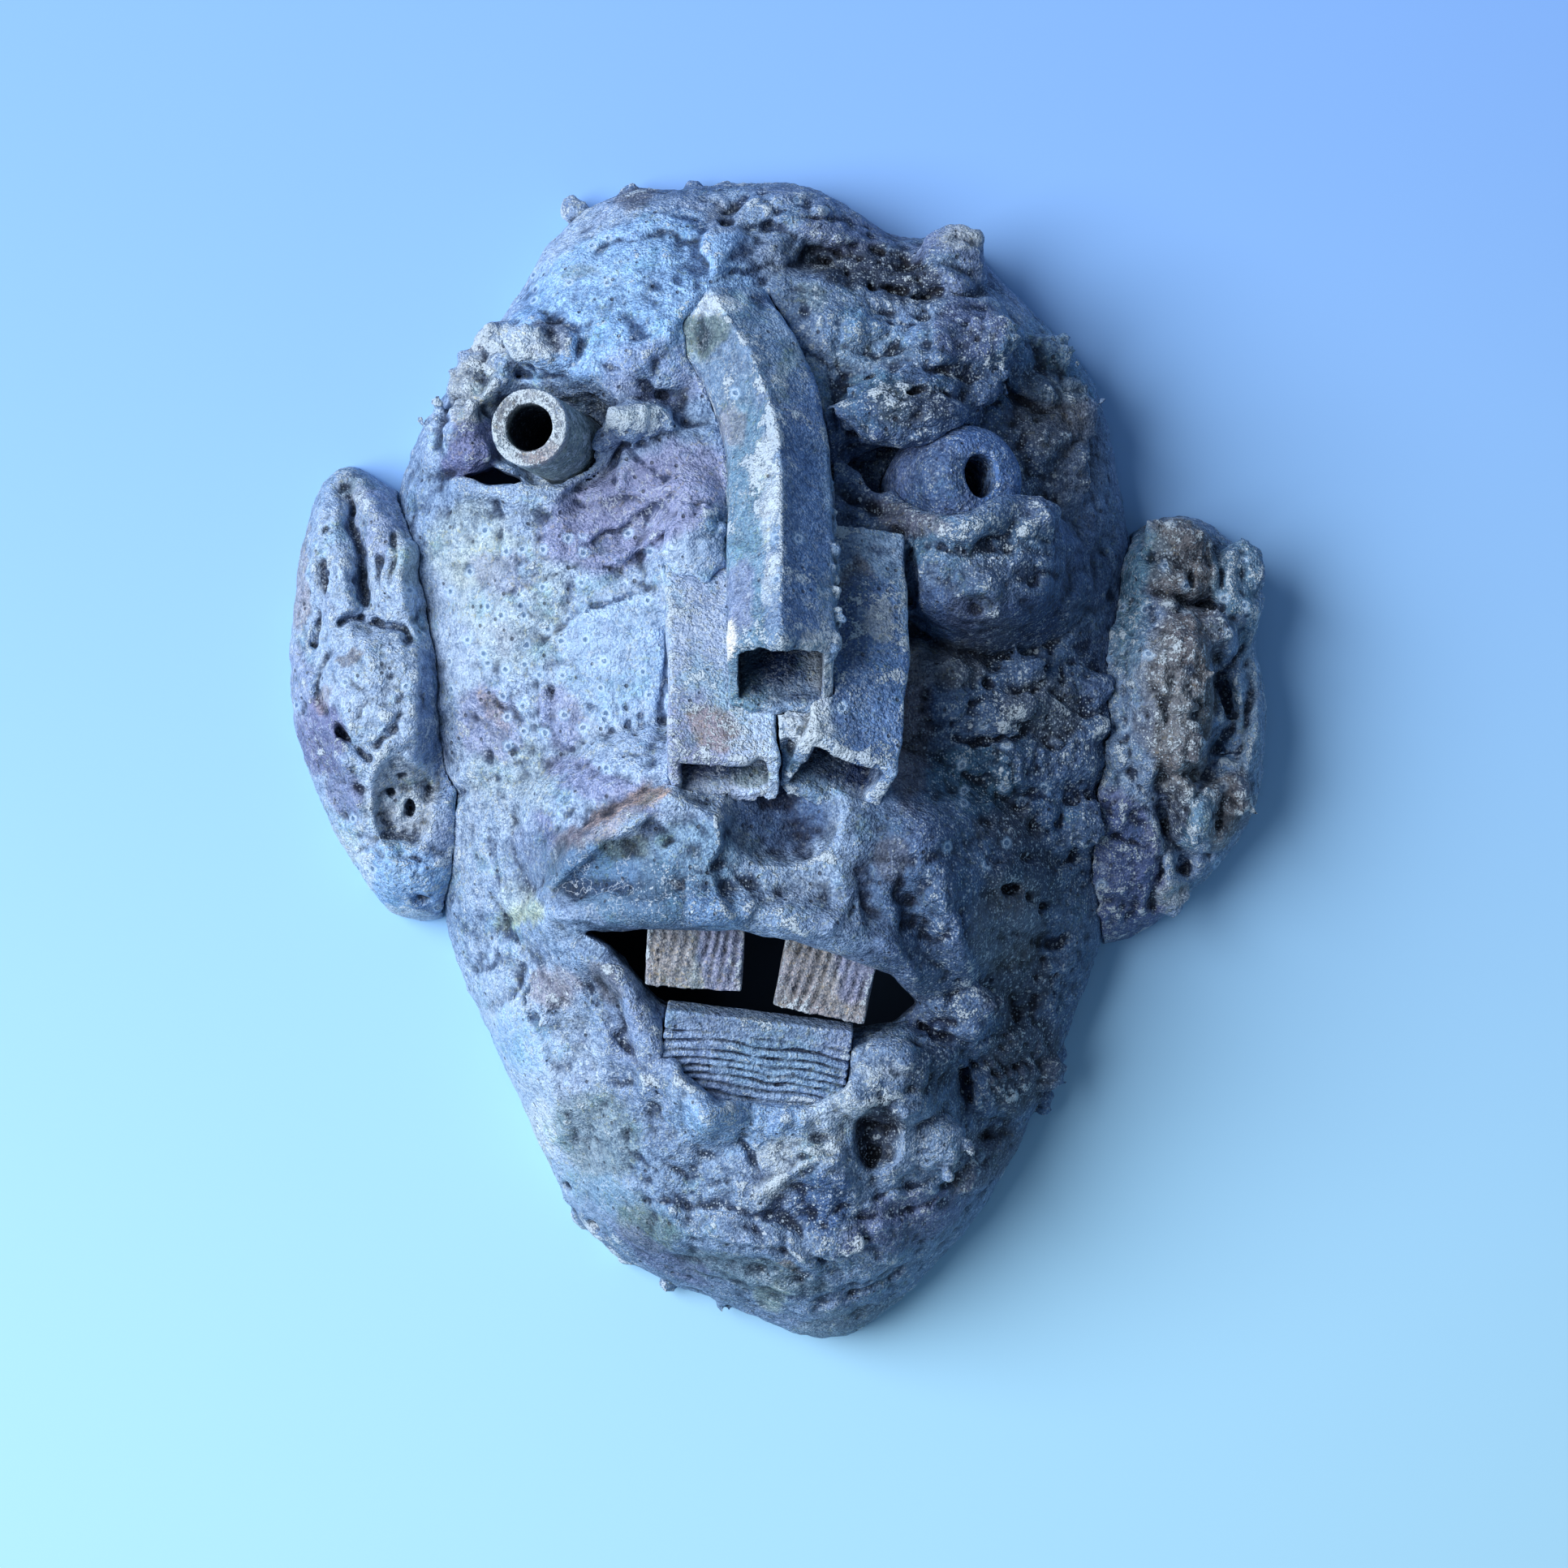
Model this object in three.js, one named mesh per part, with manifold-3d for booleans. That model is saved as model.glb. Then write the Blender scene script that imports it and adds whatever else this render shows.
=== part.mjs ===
// A hand-built ceramic wall mask, lying on its back rim with its face up.
// Millimetres: +X to the viewer's right, +Y to the crown, +Z out of the face, and z = 0 is the flat back rim.
import * as THREE from "three";
import { mergeVertices } from "three/addons/utils/BufferGeometryUtils.js";
import Module from "manifold-3d";

const wasm = await Module();
wasm.setup();

// Driving dimensions of the shell
const RIM_HEIGHT = 8;
const DOME_HEIGHT = 80;
const DOME_FLATNESS = 2.6;
const DOME_ROUNDNESS = 0.55;
const FACE_WALL = 9.5;
const RIM_WIDTH = 10;
const HAND_WAVES = 0.9;
const FACE_CELL = 8.35;
const HOLLOW_CELL = 16;
const LINING = 4;

// Driving dimensions of the ears
const EAR_RIM = 7;
const EAR_HEIGHT = 50;
const EAR_WALL = 13;
const EAR_RIM_WIDTH = 11;
const EAR_CELL = 8;

// Driving dimensions of the added pieces
const SEAM = 0.35;
const BRIDGE_WIDTH = 32;
const BRIDGE_FLOOR = 25;
const BRIDGE_EAVES = 1.5;
const BRIDGE_RIDGE = 15;
const BRIDGE_WALL = 3.6;
const NOSTRIL_WALL = 3.4;
const EYE_TUBE_RADIUS = 12;
const EYE_TUBE_BORE = 7.4;
const EYE_TUBE_LENGTH = 52;
const EYE_CONE_BORE = 5.6;
const EYE_CONE_START = -7.5;
const TOOTH_THICKNESS = 9;
const RIB_PITCH = 3.3;
const RIB_DEPTH = 0.9;
const NAIL_NOTCH = { width: 30, depth: 6, height: 16 };

// Outlines, as points of closed smooth curves
const FACE_CENTRE = [-2.5, 8.5];
const FACE_OUTLINE = [
  [-9, 190.5], [14, 188], [38, 174], [60, 172], [74, 159], [103, 127], [113, 91], [119, 48],
  [119, 12], [112, -41], [97, -87], [85, -116], [68, -148], [51, -167], [37, -181], [21, -190.5],
  [6, -189], [-14, -181], [-52, -164], [-69, -146], [-80, -124], [-96, -89], [-109, -57],
  [-117, 2], [-122, 40], [-125, 88], [-110, 123], [-86, 153], [-75, 172], [-53, 187], [-33, 189],
];
const LEFT_EAR_CENTRE = [-113, 22];
const LEFT_EAR_OUTLINE = [
  [-145, 97], [-134, 95], [-114, 78], [-99, 50], [-95, 15], [-97, -20], [-101, -44], [-111, -52.5],
  [-123, -52], [-132, -46], [-147, -22], [-158.5, 8], [-161, 30], [-158.5, 62], [-152.5, 86],
];
const RIGHT_EAR_CENTRE = [114, 12];
const RIGHT_EAR_OUTLINE = [
  [110, 66], [117, 76], [129, 81], [140, 79.5], [154, 68], [160, 55], [157.5, 40], [161, 18],
  [159, -10], [150, -29], [129, -50.5], [117, -58], [104, -61], [94, -50], [92, -10], [96, 36],
];

// The open mouth, the notch of the lower lip below it, and the gap that is left beside the left eye
const MOUTH = [
  [-60, -53], [-40, -52], [-10, -52], [3, -54.5], [20, -60], [35, -66], [44, -76], [37, -82],
  [20, -84.5], [0, -83], [-20, -79], [-34, -76.5], [-38, -74], [-45, -66], [-52, -58],
];
const LIP_NOTCH = [[-35, -76], [-29, -97], [-19, -105], [10, -107], [21, -101], [27, -90], [23, -82]];
const EYE_GAP = [[-100, 90], [-91, 94], [-82, 90], [-81, 86.5], [-92, 86.5]];

// Rounded forms pressed on or in: centre, half sizes, turn in degrees, height
const FACE_LUMPS = [
  { name: "knob on the crown", at: [56, 160], size: [13, 13], turn: 0, high: 9 },
  { name: "mass above the forehead", at: [26, 176], size: [44, 15], turn: -14, high: 6 },
  { name: "forehead slab", at: [-40, 150], size: [52, 34], turn: 30, high: 6 },
  { name: "right forehead", at: [40, 140], size: [46, 22], turn: -10, high: 7 },
  { name: "outer brow lump", at: [-97, 122], size: [13, 11], turn: 30, high: 8 },
  { name: "middle brow lump", at: [-85, 134], size: [14, 11], turn: 15, high: 9 },
  { name: "inner brow lump", at: [-73, 130], size: [11, 9], turn: 0, high: 6 },
  { name: "lump at the temple", at: [-107, 104], size: [12, 13], turn: 0, high: 8 },
  { name: "left eye socket", at: [-73, 102], size: [27, 21], turn: 0, high: -9 },
  { name: "crusted lump on the flap", at: [-44, 106], size: [12, 7], turn: 15, high: 6 },
  { name: "right eye socket", at: [44, 90], size: [33, 16], turn: 0, high: -13 },
  { name: "right upper lid", at: [41, 109], size: [24, 13], turn: 4, high: 14 },
  { name: "right brow", at: [60, 128], size: [24, 15], turn: 8, high: 6 },
  { name: "right cheek", at: [68, 58], size: [33, 25], turn: 0, high: 24 },
  { name: "ramp beside the bridge", at: [-27, 64], size: [15, 27], turn: 0, high: 7 },
  { name: "muzzle", at: [2, -32], size: [86, 44], turn: -8, high: 31 },
  { name: "philtrum", at: [1, -19], size: [14, 13], turn: 0, high: -12 },
  { name: "lump below the mouth", at: [36, -98], size: [22, 16], turn: 0, high: 14 },
  { name: "thumb hole in the chin", at: [31, -117], size: [8, 12], turn: 0, high: -10 },
  { name: "slab on the chin", at: [47, -120], size: [18, 22], turn: -20, high: 5 },
  { name: "chin", at: [2, -132], size: [64, 50], turn: 0, high: 14 },
  { name: "left jaw", at: [-66, -84], size: [30, 38], turn: 25, high: 8 },
];

// Rolls and creases: path, half width, height
const FACE_ROLLS = [
  {
    name: "coil along the crown", width: 10, high: 6,
    path: [[-70, 178], [-40, 184], [-8, 185], [20, 182], [38, 169]],
  },
  { name: "pitted crease", path: [[8, 161], [28, 155], [48, 149]], width: 9, high: -6 },
  {
    name: "left lower lid", width: 8, high: 6,
    path: [[-100, 86], [-86, 84], [-70, 84], [-60, 94], [-50, 105]],
  },
  {
    name: "right lower lid", width: 8, high: 8,
    path: [[20, 90], [33, 82], [42, 76], [57, 70], [72, 78], [84, 75]],
  },
  { name: "crease under the cheek", path: [[44, 40], [60, 34], [84, 40], [94, 60]], width: 9, high: -7 },
  {
    name: "upper lip", width: 10, high: 8,
    path: [[-72, -47], [-40, -46], [-8, -46], [20, -53], [37, -60], [50, -77]],
  },
  { name: "top of the lip", path: [[-32, -12], [-60, -26], [-80, -46]], width: 9, high: 4 },
  { name: "right lip roll", path: [[44, -22], [53, -48], [59, -70], [58, -86]], width: 14, high: 9 },
  {
    name: "left lip roll", width: 15, high: 13,
    path: [[-68, -52], [-52, -64], [-41, -80], [-32, -97], [-22, -108]],
  },
  { name: "lower lip", path: [[-22, -110], [0, -112], [20, -106]], width: 9, high: 5 },
  { name: "groove in the left roll", path: [[-59, -66], [-51, -76], [-46, -90]], width: 5, high: -4 },
  { name: "ledge on the chin", path: [[-34, -150], [-10, -153], [10, -160]], width: 8, high: 4 },
];

const LEFT_EAR_LUMPS = [
  { name: "raised plate", at: [-128, 17], size: [20, 27], turn: 0, high: 8 },
  { name: "crater", at: [-120, -14], size: [10, 16], turn: 0, high: -8 },
  { name: "leaf-shaped dent", at: [-150, 42], size: [7, 15], turn: 0, high: -4 },
  { name: "lobe", at: [-122, -38], size: [18, 13], turn: 0, high: 5 },
];
const LEFT_EAR_ROLLS = [
  {
    name: "groove between the folds", width: 7, high: -8,
    path: [[-140, 88], [-136, 74], [-132, 56], [-130, 44]],
  },
  { name: "inner fold", path: [[-128, 82], [-120, 68], [-117, 52]], width: 9, high: 5 },
  {
    name: "step down to the face", width: 8, high: -11,
    path: [[-113, 60], [-107, 36], [-106, 12], [-110, -8]],
  },
];
const RIGHT_EAR_LUMPS = [
  { name: "top lobe", at: [125, 65], size: [19, 17], turn: 0, high: 10 },
  { name: "outer lobe", at: [149, 58], size: [11, 16], turn: 0, high: 8 },
  { name: "middle lobe", at: [135, 38], size: [13, 12], turn: 0, high: 8 },
  { name: "trunk", at: [125, 18], size: [15, 34], turn: 0, high: 10 },
  { name: "lower lump", at: [136, -18], size: [12, 12], turn: 0, high: 7 },
  { name: "lobe end", at: [126, -45], size: [12, 9], turn: 30, high: 4 },
];
const RIGHT_EAR_ROLLS = [
  { name: "outer rim", path: [[153, 46], [155, 15], [150, -14], [138, -36]], width: 8, high: 6 },
  { name: "inner gap", path: [[140, 32], [146, 12], [136, -4]], width: 7, high: -12 },
  { name: "groove under the trunk", path: [[122, -8], [126, -20], [131, -34]], width: 6, high: -7 },
  { name: "crevice", path: [[130, 51], [141, 49]], width: 5, high: -5 },
];

const smooth = (t) => {
  const u = THREE.MathUtils.clamp(t, 0, 1);
  return u * u * (3 - 2 * u);
};

// A closed smooth curve through an outline's points.
function closedCurve(points, count) {
  const curve = new THREE.CatmullRomCurve3(
    points.map(([x, y]) => new THREE.Vector3(x, y, 0)), true, "catmullrom", 0.5,
  );
  return curve.getPoints(count).slice(0, count);
}

// Distance from a centre as a share of the outline's radius that way, with the outline moved in by inset.
function radialShare(outline, [cx, cy], inset = 0) {
  const steps = 720;
  const radii = new Array(steps).fill(0);
  const points = closedCurve(outline, steps * 2);
  const slot = (angle) => ((Math.round((angle / (2 * Math.PI)) * steps) % steps) + steps) % steps;
  for (const p of points) {
    const at = slot(Math.atan2(p.y - cy, p.x - cx));
    radii[at] = Math.max(radii[at], Math.hypot(p.x - cx, p.y - cy));
  }
  for (let i = 0; i < steps * 2; i++) {
    const at = i % steps;
    if (radii[at] === 0) radii[at] = radii[(at + steps - 1) % steps];
  }
  return (x, y) => Math.hypot(x - cx, y - cy) / (radii[slot(Math.atan2(y - cy, x - cx))] - inset);
}

function lumpHeight(lump, x, y) {
  const turn = THREE.MathUtils.degToRad(lump.turn);
  const dx = x - lump.at[0];
  const dy = y - lump.at[1];
  const along = (dx * Math.cos(turn) + dy * Math.sin(turn)) / lump.size[0];
  const across = (dy * Math.cos(turn) - dx * Math.sin(turn)) / lump.size[1];
  const inside = Math.max(0, 1 - along * along - across * across);
  return lump.high * inside * (2 - inside);
}

function distanceToPath(path, x, y) {
  let nearest = Infinity;
  for (let i = 1; i < path.length; i++) {
    const [ax, ay] = path[i - 1];
    const [bx, by] = path[i];
    const length = (bx - ax) ** 2 + (by - ay) ** 2;
    const t = THREE.MathUtils.clamp(((x - ax) * (bx - ax) + (y - ay) * (by - ay)) / length, 0, 1);
    nearest = Math.min(nearest, Math.hypot(x - ax - t * (bx - ax), y - ay - t * (by - ay)));
  }
  return nearest;
}

const rollHeight = (roll, x, y) => roll.high * smooth(1 - distanceToPath(roll.path, x, y) / roll.width);

const handWaves = (x, y) =>
  HAND_WAVES * (Math.sin(x / 8.3 + 1.7 * Math.sin(y / 14)) + Math.sin(y / 9.1 + 1.4 * Math.sin(x / 12)));

const dome = (share, low, high) =>
  low + (high - low) * Math.max(0, 1 - share ** DOME_FLATNESS) ** DOME_ROUNDNESS;

const faceShare = radialShare(FACE_OUTLINE, FACE_CENTRE);
const hollowShare = radialShare(FACE_OUTLINE, FACE_CENTRE, RIM_WIDTH);
const sum = (list, height) => list.reduce((total, item) => total + height(item), 0);

function faceHeight(x, y) {
  const lumps = sum(FACE_LUMPS, (lump) => lumpHeight(lump, x, y));
  const rolls = sum(FACE_ROLLS, (roll) => rollHeight(roll, x, y));
  const share = faceShare(x, y);
  const added = (lumps + rolls + handWaves(x, y)) * smooth((1.02 - share) / 0.12);
  return dome(share, RIM_HEIGHT, DOME_HEIGHT) + added;
}

// Where the inside is kept lower, under the deepest dents
const HOLLOW_DENTS = [
  { name: "under the philtrum", at: [1, -19], size: [28, 28], turn: 0, high: -7 },
  { name: "under the right eye", at: [46, 92], size: [38, 28], turn: 0, high: -4 },
  { name: "under the crease of the cheek", at: [48, 36], size: [24, 20], turn: 0, high: -5 },
  { name: "under the layered block", at: [-4, -100], size: [44, 24], turn: 0, high: -6 },
];

// The inside follows only the large forms, a wall's thickness below them, and stays below every dent.
function hollowHeight(x, y) {
  const large = FACE_LUMPS.filter((lump) => lump.size[0] > 24);
  const lumps = sum(large, (lump) => Math.min(lumpHeight(lump, x, y), 0.85 * lumpHeight(lump, x, y)))
    + sum(HOLLOW_DENTS, (dent) => lumpHeight(dent, x, y));
  const share = hollowShare(x, y);
  return dome(share, 0, DOME_HEIGHT - FACE_WALL) + lumps * smooth((1 - share) / 0.2) - 1.5 * HAND_WAVES;
}

const leftEarShare = radialShare(LEFT_EAR_OUTLINE, LEFT_EAR_CENTRE);
const rightEarShare = radialShare(RIGHT_EAR_OUTLINE, RIGHT_EAR_CENTRE);

function earHeight(earShare, lumps, rolls, x, y) {
  const share = earShare(x, y);
  const added = sum(lumps, (lump) => lumpHeight(lump, x, y)) + sum(rolls, (roll) => rollHeight(roll, x, y));
  const waves = 0.6 * handWaves(x, y);
  return dome(share, EAR_RIM, EAR_HEIGHT) + (added + waves) * smooth((1.05 - share) / 0.2);
}

const leftEarHeight = (x, y) => earHeight(leftEarShare, LEFT_EAR_LUMPS, LEFT_EAR_ROLLS, x, y);
const rightEarHeight = (x, y) => earHeight(rightEarShare, RIGHT_EAR_LUMPS, RIGHT_EAR_ROLLS, x, y);

// A closed geometry as a solid for joining and cutting, and back.
function solid(geometry) {
  const bare = geometry.clone();
  bare.deleteAttribute("normal");
  bare.deleteAttribute("uv");
  const merged = mergeVertices(bare, 1e-4);
  return new wasm.Manifold(new wasm.Mesh({
    numProp: 3,
    vertProperties: new Float32Array(merged.attributes.position.array),
    triVerts: new Uint32Array(merged.index.array),
  }));
}

function geometryOf(made) {
  const mesh = made.getMesh();
  const geometry = new THREE.BufferGeometry();
  geometry.setAttribute("position", new THREE.BufferAttribute(mesh.vertProperties, 3));
  geometry.setIndex(new THREE.BufferAttribute(mesh.triVerts, 1));
  geometry.computeVertexNormals();
  return geometry;
}

// The one body left after a cut, without loose crumbs of it.
const mainBody = (made) => made.decompose().sort((a, b) => b.volume() - a.volume())[0];

// A block over a rectangle whose top follows a height function.
function reliefBlock([x0, y0, x1, y1], cell, bottom, height) {
  const across = Math.round((x1 - x0) / cell);
  const up = Math.round((y1 - y0) / cell);
  const box = new THREE.BoxGeometry(x1 - x0, y1 - y0, 2, across, up, 1);
  box.translate((x0 + x1) / 2, (y0 + y1) / 2, 0);
  const position = box.attributes.position;
  for (let i = 0; i < position.count; i++) {
    const top = position.getZ(i) > 0;
    position.setZ(i, top ? Math.max(bottom + 1, height(position.getX(i), position.getY(i))) : bottom);
  }
  return solid(box);
}

function prism(points, bottom, top) {
  const shape = new THREE.Shape(points.map(([x, y]) => new THREE.Vector2(x, y)));
  const geometry = new THREE.ExtrudeGeometry(shape, { depth: top - bottom, bevelEnabled: false });
  return solid(geometry.translate(0, 0, bottom));
}

// An outline's curve moved outwards by grow, as points.
function grownOutline(outline, [cx, cy], grow, count) {
  return closedCurve(outline, count).map((p) => {
    const radius = Math.hypot(p.x - cx, p.y - cy);
    const scale = (radius + grow) / radius;
    return [cx + (p.x - cx) * scale, cy + (p.y - cy) * scale];
  });
}

const FACE_BOX = [-136, -200, 130, 200];
const LEFT_EAR_BOX = [-168, -60, -88, 104];
const RIGHT_EAR_BOX = [86, -68, 168, 88];

// The face's full form, grown outwards by a seam where it serves to cut its neighbours.
function faceForm(grow = 0) {
  const block = reliefBlock(FACE_BOX, FACE_CELL, 0, (x, y) => faceHeight(x, y) + 2 * grow);
  return block.intersect(prism(grownOutline(FACE_OUTLINE, FACE_CENTRE, grow, 96), 0, 200));
}

function faceHollow() {
  const block = reliefBlock(FACE_BOX, HOLLOW_CELL, -4, hollowHeight);
  return block.intersect(prism(grownOutline(FACE_OUTLINE, FACE_CENTRE, -RIM_WIDTH, 48), -4, 200));
}

// What lies below the thin skin that closes the shell under a tube laid on it.
const underLining = (gap) =>
  reliefBlock(FACE_BOX, HOLLOW_CELL, -4, (x, y) => hollowHeight(x, y) + LINING + gap);

// A notch inside the crown, where a nail bears when the mask hangs.
function nailNotch() {
  const { width, depth, height } = NAIL_NOTCH;
  const box = new THREE.BoxGeometry(width, 2 * depth, height);
  return solid(box.translate(-4, FACE_OUTLINE[0][1] - RIM_WIDTH - 2, height / 2 + 5));
}

// A piece lofted along a curve from a section of (side, up) points. Heel is the share of its depth below the
// curve that it starts with, and slant shifts the last section's corners along the curve.
function loft({ path, section, roll, slant, heel }, grow = 0, from = 0, to = 1) {
  const curve = new THREE.CatmullRomCurve3(path.map((p) => new THREE.Vector3(...p)));
  const turn = THREE.MathUtils.degToRad(roll);
  const steps = 7;
  const count = section.length;
  const corners = [];
  for (let i = 0; i <= steps; i++) {
    const t = from + ((to - from) * i) / steps;
    const inPath = THREE.MathUtils.clamp(t, 0, 1);
    const tangent = curve.getTangent(inPath);
    const at = curve.getPoint(inPath).addScaledVector(tangent, (t - inPath) * curve.getLength());
    const side = new THREE.Vector3(0, 0, 1).cross(tangent).normalize();
    const up = tangent.clone().cross(side);
    const deep = THREE.MathUtils.lerp(heel, 1, inPath);
    const past = (i === steps ? 2 * grow : 0) - (i === 0 ? grow : 0);
    for (const corner of section) {
      const [u, v] = corner.map((value) => value + Math.sign(value) * grow);
      const a = u * Math.cos(turn) - v * Math.sin(turn);
      const b = (u * Math.sin(turn) + v * Math.cos(turn)) * (v < 0 ? deep : 1);
      const ahead = Math.min(slant.most, slant.base + slant.up * b + slant.side * Math.abs(a));
      const shift = past + inPath ** 4 * ahead;
      const across = at.clone().addScaledVector(side, a).addScaledVector(up, b);
      corners.push(across.addScaledVector(tangent, shift));
    }
  }
  const index = [];
  for (let i = 0; i < steps; i++) {
    for (let j = 0; j < count; j++) {
      const a = i * count + j;
      const b = i * count + ((j + 1) % count);
      index.push(a, b, b + count, a, b + count, a + count);
    }
  }
  for (let j = 1; j < count - 1; j++) {
    index.push(0, j + 1, j);
    index.push(steps * count, steps * count + j, steps * count + j + 1);
  }
  const geometry = new THREE.BufferGeometry().setFromPoints(corners);
  geometry.setIndex(index);
  return solid(geometry);
}

// A rectangular section with cut corners.
function squareSection(width, depth, corner) {
  const w = width / 2;
  const d = depth / 2;
  return [
    [w - corner, -d], [w, corner - d], [w, d - corner], [w - corner, d],
    [corner - w, d], [-w, d - corner], [-w, corner - d], [corner - w, -d],
  ];
}

// A section with upright sides and a roof, thinner all round by the wall where it is for the bore.
function houseSection(wall) {
  const w = BRIDGE_WIDTH / 2 - wall;
  const floor = wall - BRIDGE_FLOOR;
  const eaves = BRIDGE_EAVES - wall / 2;
  return [[-w, floor], [w, floor], [w, eaves], [0, BRIDGE_RIDGE - 1.3 * wall], [-w, eaves]];
}

// A clay tube: the full form less its bore, which stays closed at the upper end.
const clayTube = (shape, closedShare) =>
  loft(shape).subtract(loft({ ...shape, section: shape.bore }, 0, closedShare, 1.3));

function nostrilShape(width, depth, roll, path) {
  const bore = squareSection(width - 2 * NOSTRIL_WALL, depth - 2 * NOSTRIL_WALL, 0.6);
  const slant = { base: 0, up: -0.4, side: 0, most: 5 };
  return { section: squareSection(width, depth, 1.6), bore, roll, path, heel: 1, slant };
}

const BRIDGE = {
  section: houseSection(0),
  bore: houseSection(BRIDGE_WALL),
  roll: 0,
  path: [[-18, 141, 63], [-7, 121, 75], [-0.5, 99, 87], [1, 66, 108], [1, 27, 132]],
  heel: 0.8,
  slant: { base: 2, up: -0.13, side: -0.53, most: 0.5 },
};
const LEFT_NOSTRIL = nostrilShape(33, 18, 0, [[-18, 62, 75], [-17, 34, 90], [-16.5, 8, 103], [-16, -6, 109]]);
const RIGHT_NOSTRIL = nostrilShape(30, 25, -14, [[22, 66, 77], [22.5, 38, 91], [21, 10, 103], [18, -6, 109]]);

// A turned piece along an axis, from a profile of (radius, distance) points.
function turned(profile, foot, axis) {
  const geometry = new THREE.LatheGeometry(profile.map(([r, d]) => new THREE.Vector2(r, d)), 22);
  const upright = new THREE.Vector3(0, 1, 0);
  const turn = new THREE.Quaternion().setFromUnitVectors(upright, axis.clone().normalize());
  return solid(geometry.applyQuaternion(turn).translate(...foot));
}

const EYE_TUBE_AXIS = new THREE.Vector3(-0.23, 0.07, 0.97);
const EYE_TUBE_FOOT = [-64.3, 98.3, 41];
const eyeTube = (radius, length, start = 0) =>
  turned([[0, start], [radius, start], [radius, length], [0, length]], EYE_TUBE_FOOT, EYE_TUBE_AXIS);

const EYE_CONE_AXIS = new THREE.Vector3(0.36, 0.1, 0.93);
const EYE_CONE_FOOT = [48.8, 84, 45.8];
function eyeCone(grow = 0) {
  const sides = [[15, EYE_CONE_START], [19, 8], [19.5, 20], [16.5, 33], [12.5, 40]];
  const profile = sides.map(([radius, along]) => [radius + grow, along]);
  return turned([[0, EYE_CONE_START - grow], ...profile, [0, 40 + grow]], EYE_CONE_FOOT, EYE_CONE_AXIS);
}
const eyeConeBore = () =>
  turned([[0, -30], [EYE_CONE_BORE, -30], [EYE_CONE_BORE, 60], [0, 60]], EYE_CONE_FOOT, EYE_CONE_AXIS);

// A slab tooth standing behind the lip, with ribs down its front face.
function tooth({ at, width, height, tilt, turn, z }, grow = 0) {
  const shape = new THREE.Shape();
  shape.moveTo(-width / 2 - grow, -grow);
  shape.lineTo(width / 2 + grow, -grow);
  shape.lineTo(width / 2 + grow, TOOTH_THICKNESS);
  const ribs = Math.round(width / RIB_PITCH);
  for (let i = ribs * 2 - 1; i > 0; i--) {
    const depth = i % 2 ? RIB_DEPTH : 0;
    shape.lineTo((i / (2 * ribs) - 0.5) * width, TOOTH_THICKNESS - depth * (grow ? 0 : 1) + grow);
  }
  shape.lineTo(-width / 2 - grow, TOOTH_THICKNESS);
  const slab = new THREE.ExtrudeGeometry(shape, { depth: height + 2 * grow, bevelEnabled: false });
  slab.translate(0, 0, -grow);
  slab.rotateX(Math.PI / 2);
  slab.rotateX(THREE.MathUtils.degToRad(tilt));
  slab.rotateZ(THREE.MathUtils.degToRad(turn));
  return solid(slab.translate(at[0], at[1], z));
}

const LEFT_TOOTH = { at: [-24.5, -42], width: 30, height: 28, tilt: 8, turn: -3, z: 83 };
const RIGHT_TOOTH = { at: [19, -46], width: 29, height: 33, tilt: 8, turn: -11, z: 81 };

// The stack of thin layers that stands in the notch of the lower lip.
const BLOCK = { at: [-5.5, -80.5], width: 58, depth: 27, height: 11, tilt: 14, turn: -7, z: 86 };
function layeredBlock(grow = 0) {
  const { width, depth, height } = BLOCK;
  const layers = Math.round(depth / (RIB_PITCH * 1.2));
  const shape = new THREE.Shape();
  shape.moveTo(grow, grow);
  shape.lineTo(grow, -height - grow);
  shape.lineTo(-depth - grow, -height - grow);
  shape.lineTo(-depth - grow, grow);
  for (let i = 2 * layers - 1; i > 0; i--) {
    shape.lineTo((-i / (2 * layers)) * depth, (i % 2 ? -RIB_DEPTH * (grow ? 0 : 1) : 0) + grow);
  }
  const slab = new THREE.ExtrudeGeometry(shape, { depth: width + 2 * grow, bevelEnabled: false });
  slab.translate(0, 0, -width / 2 - grow);
  slab.rotateX(Math.PI / 2);
  slab.rotateZ(Math.PI / 2);
  return solid(inBlockFrame(slab));
}

function inBlockFrame(geometry) {
  geometry.rotateX(THREE.MathUtils.degToRad(BLOCK.tilt));
  geometry.rotateZ(THREE.MathUtils.degToRad(BLOCK.turn));
  return geometry.translate(BLOCK.at[0], BLOCK.at[1], BLOCK.z);
}

// The open notch of the lower lip, above the face of the layered block.
function lipNotch() {
  const reach = 3 * BLOCK.width;
  const above = new THREE.BoxGeometry(reach, reach, reach).translate(0, 0, reach / 2 - 1);
  return prism(LIP_NOTCH, 0, 200).intersect(solid(inBlockFrame(above)));
}

// A hollow ear, cut off where it meets the face.
function ear(outline, centre, box, height, face) {
  const block = reliefBlock(box, EAR_CELL, 0, height);
  const hollow = reliefBlock(box, 2 * EAR_CELL, -4, (x, y) => height(x, y) - EAR_WALL);
  const inside = prism(grownOutline(outline, centre, -EAR_RIM_WIDTH, 30), -4, 90);
  const form = block.intersect(prism(grownOutline(outline, centre, 0, 48), 0, 90));
  return mainBody(form.subtract(hollow.intersect(inside)).subtract(face));
}

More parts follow.
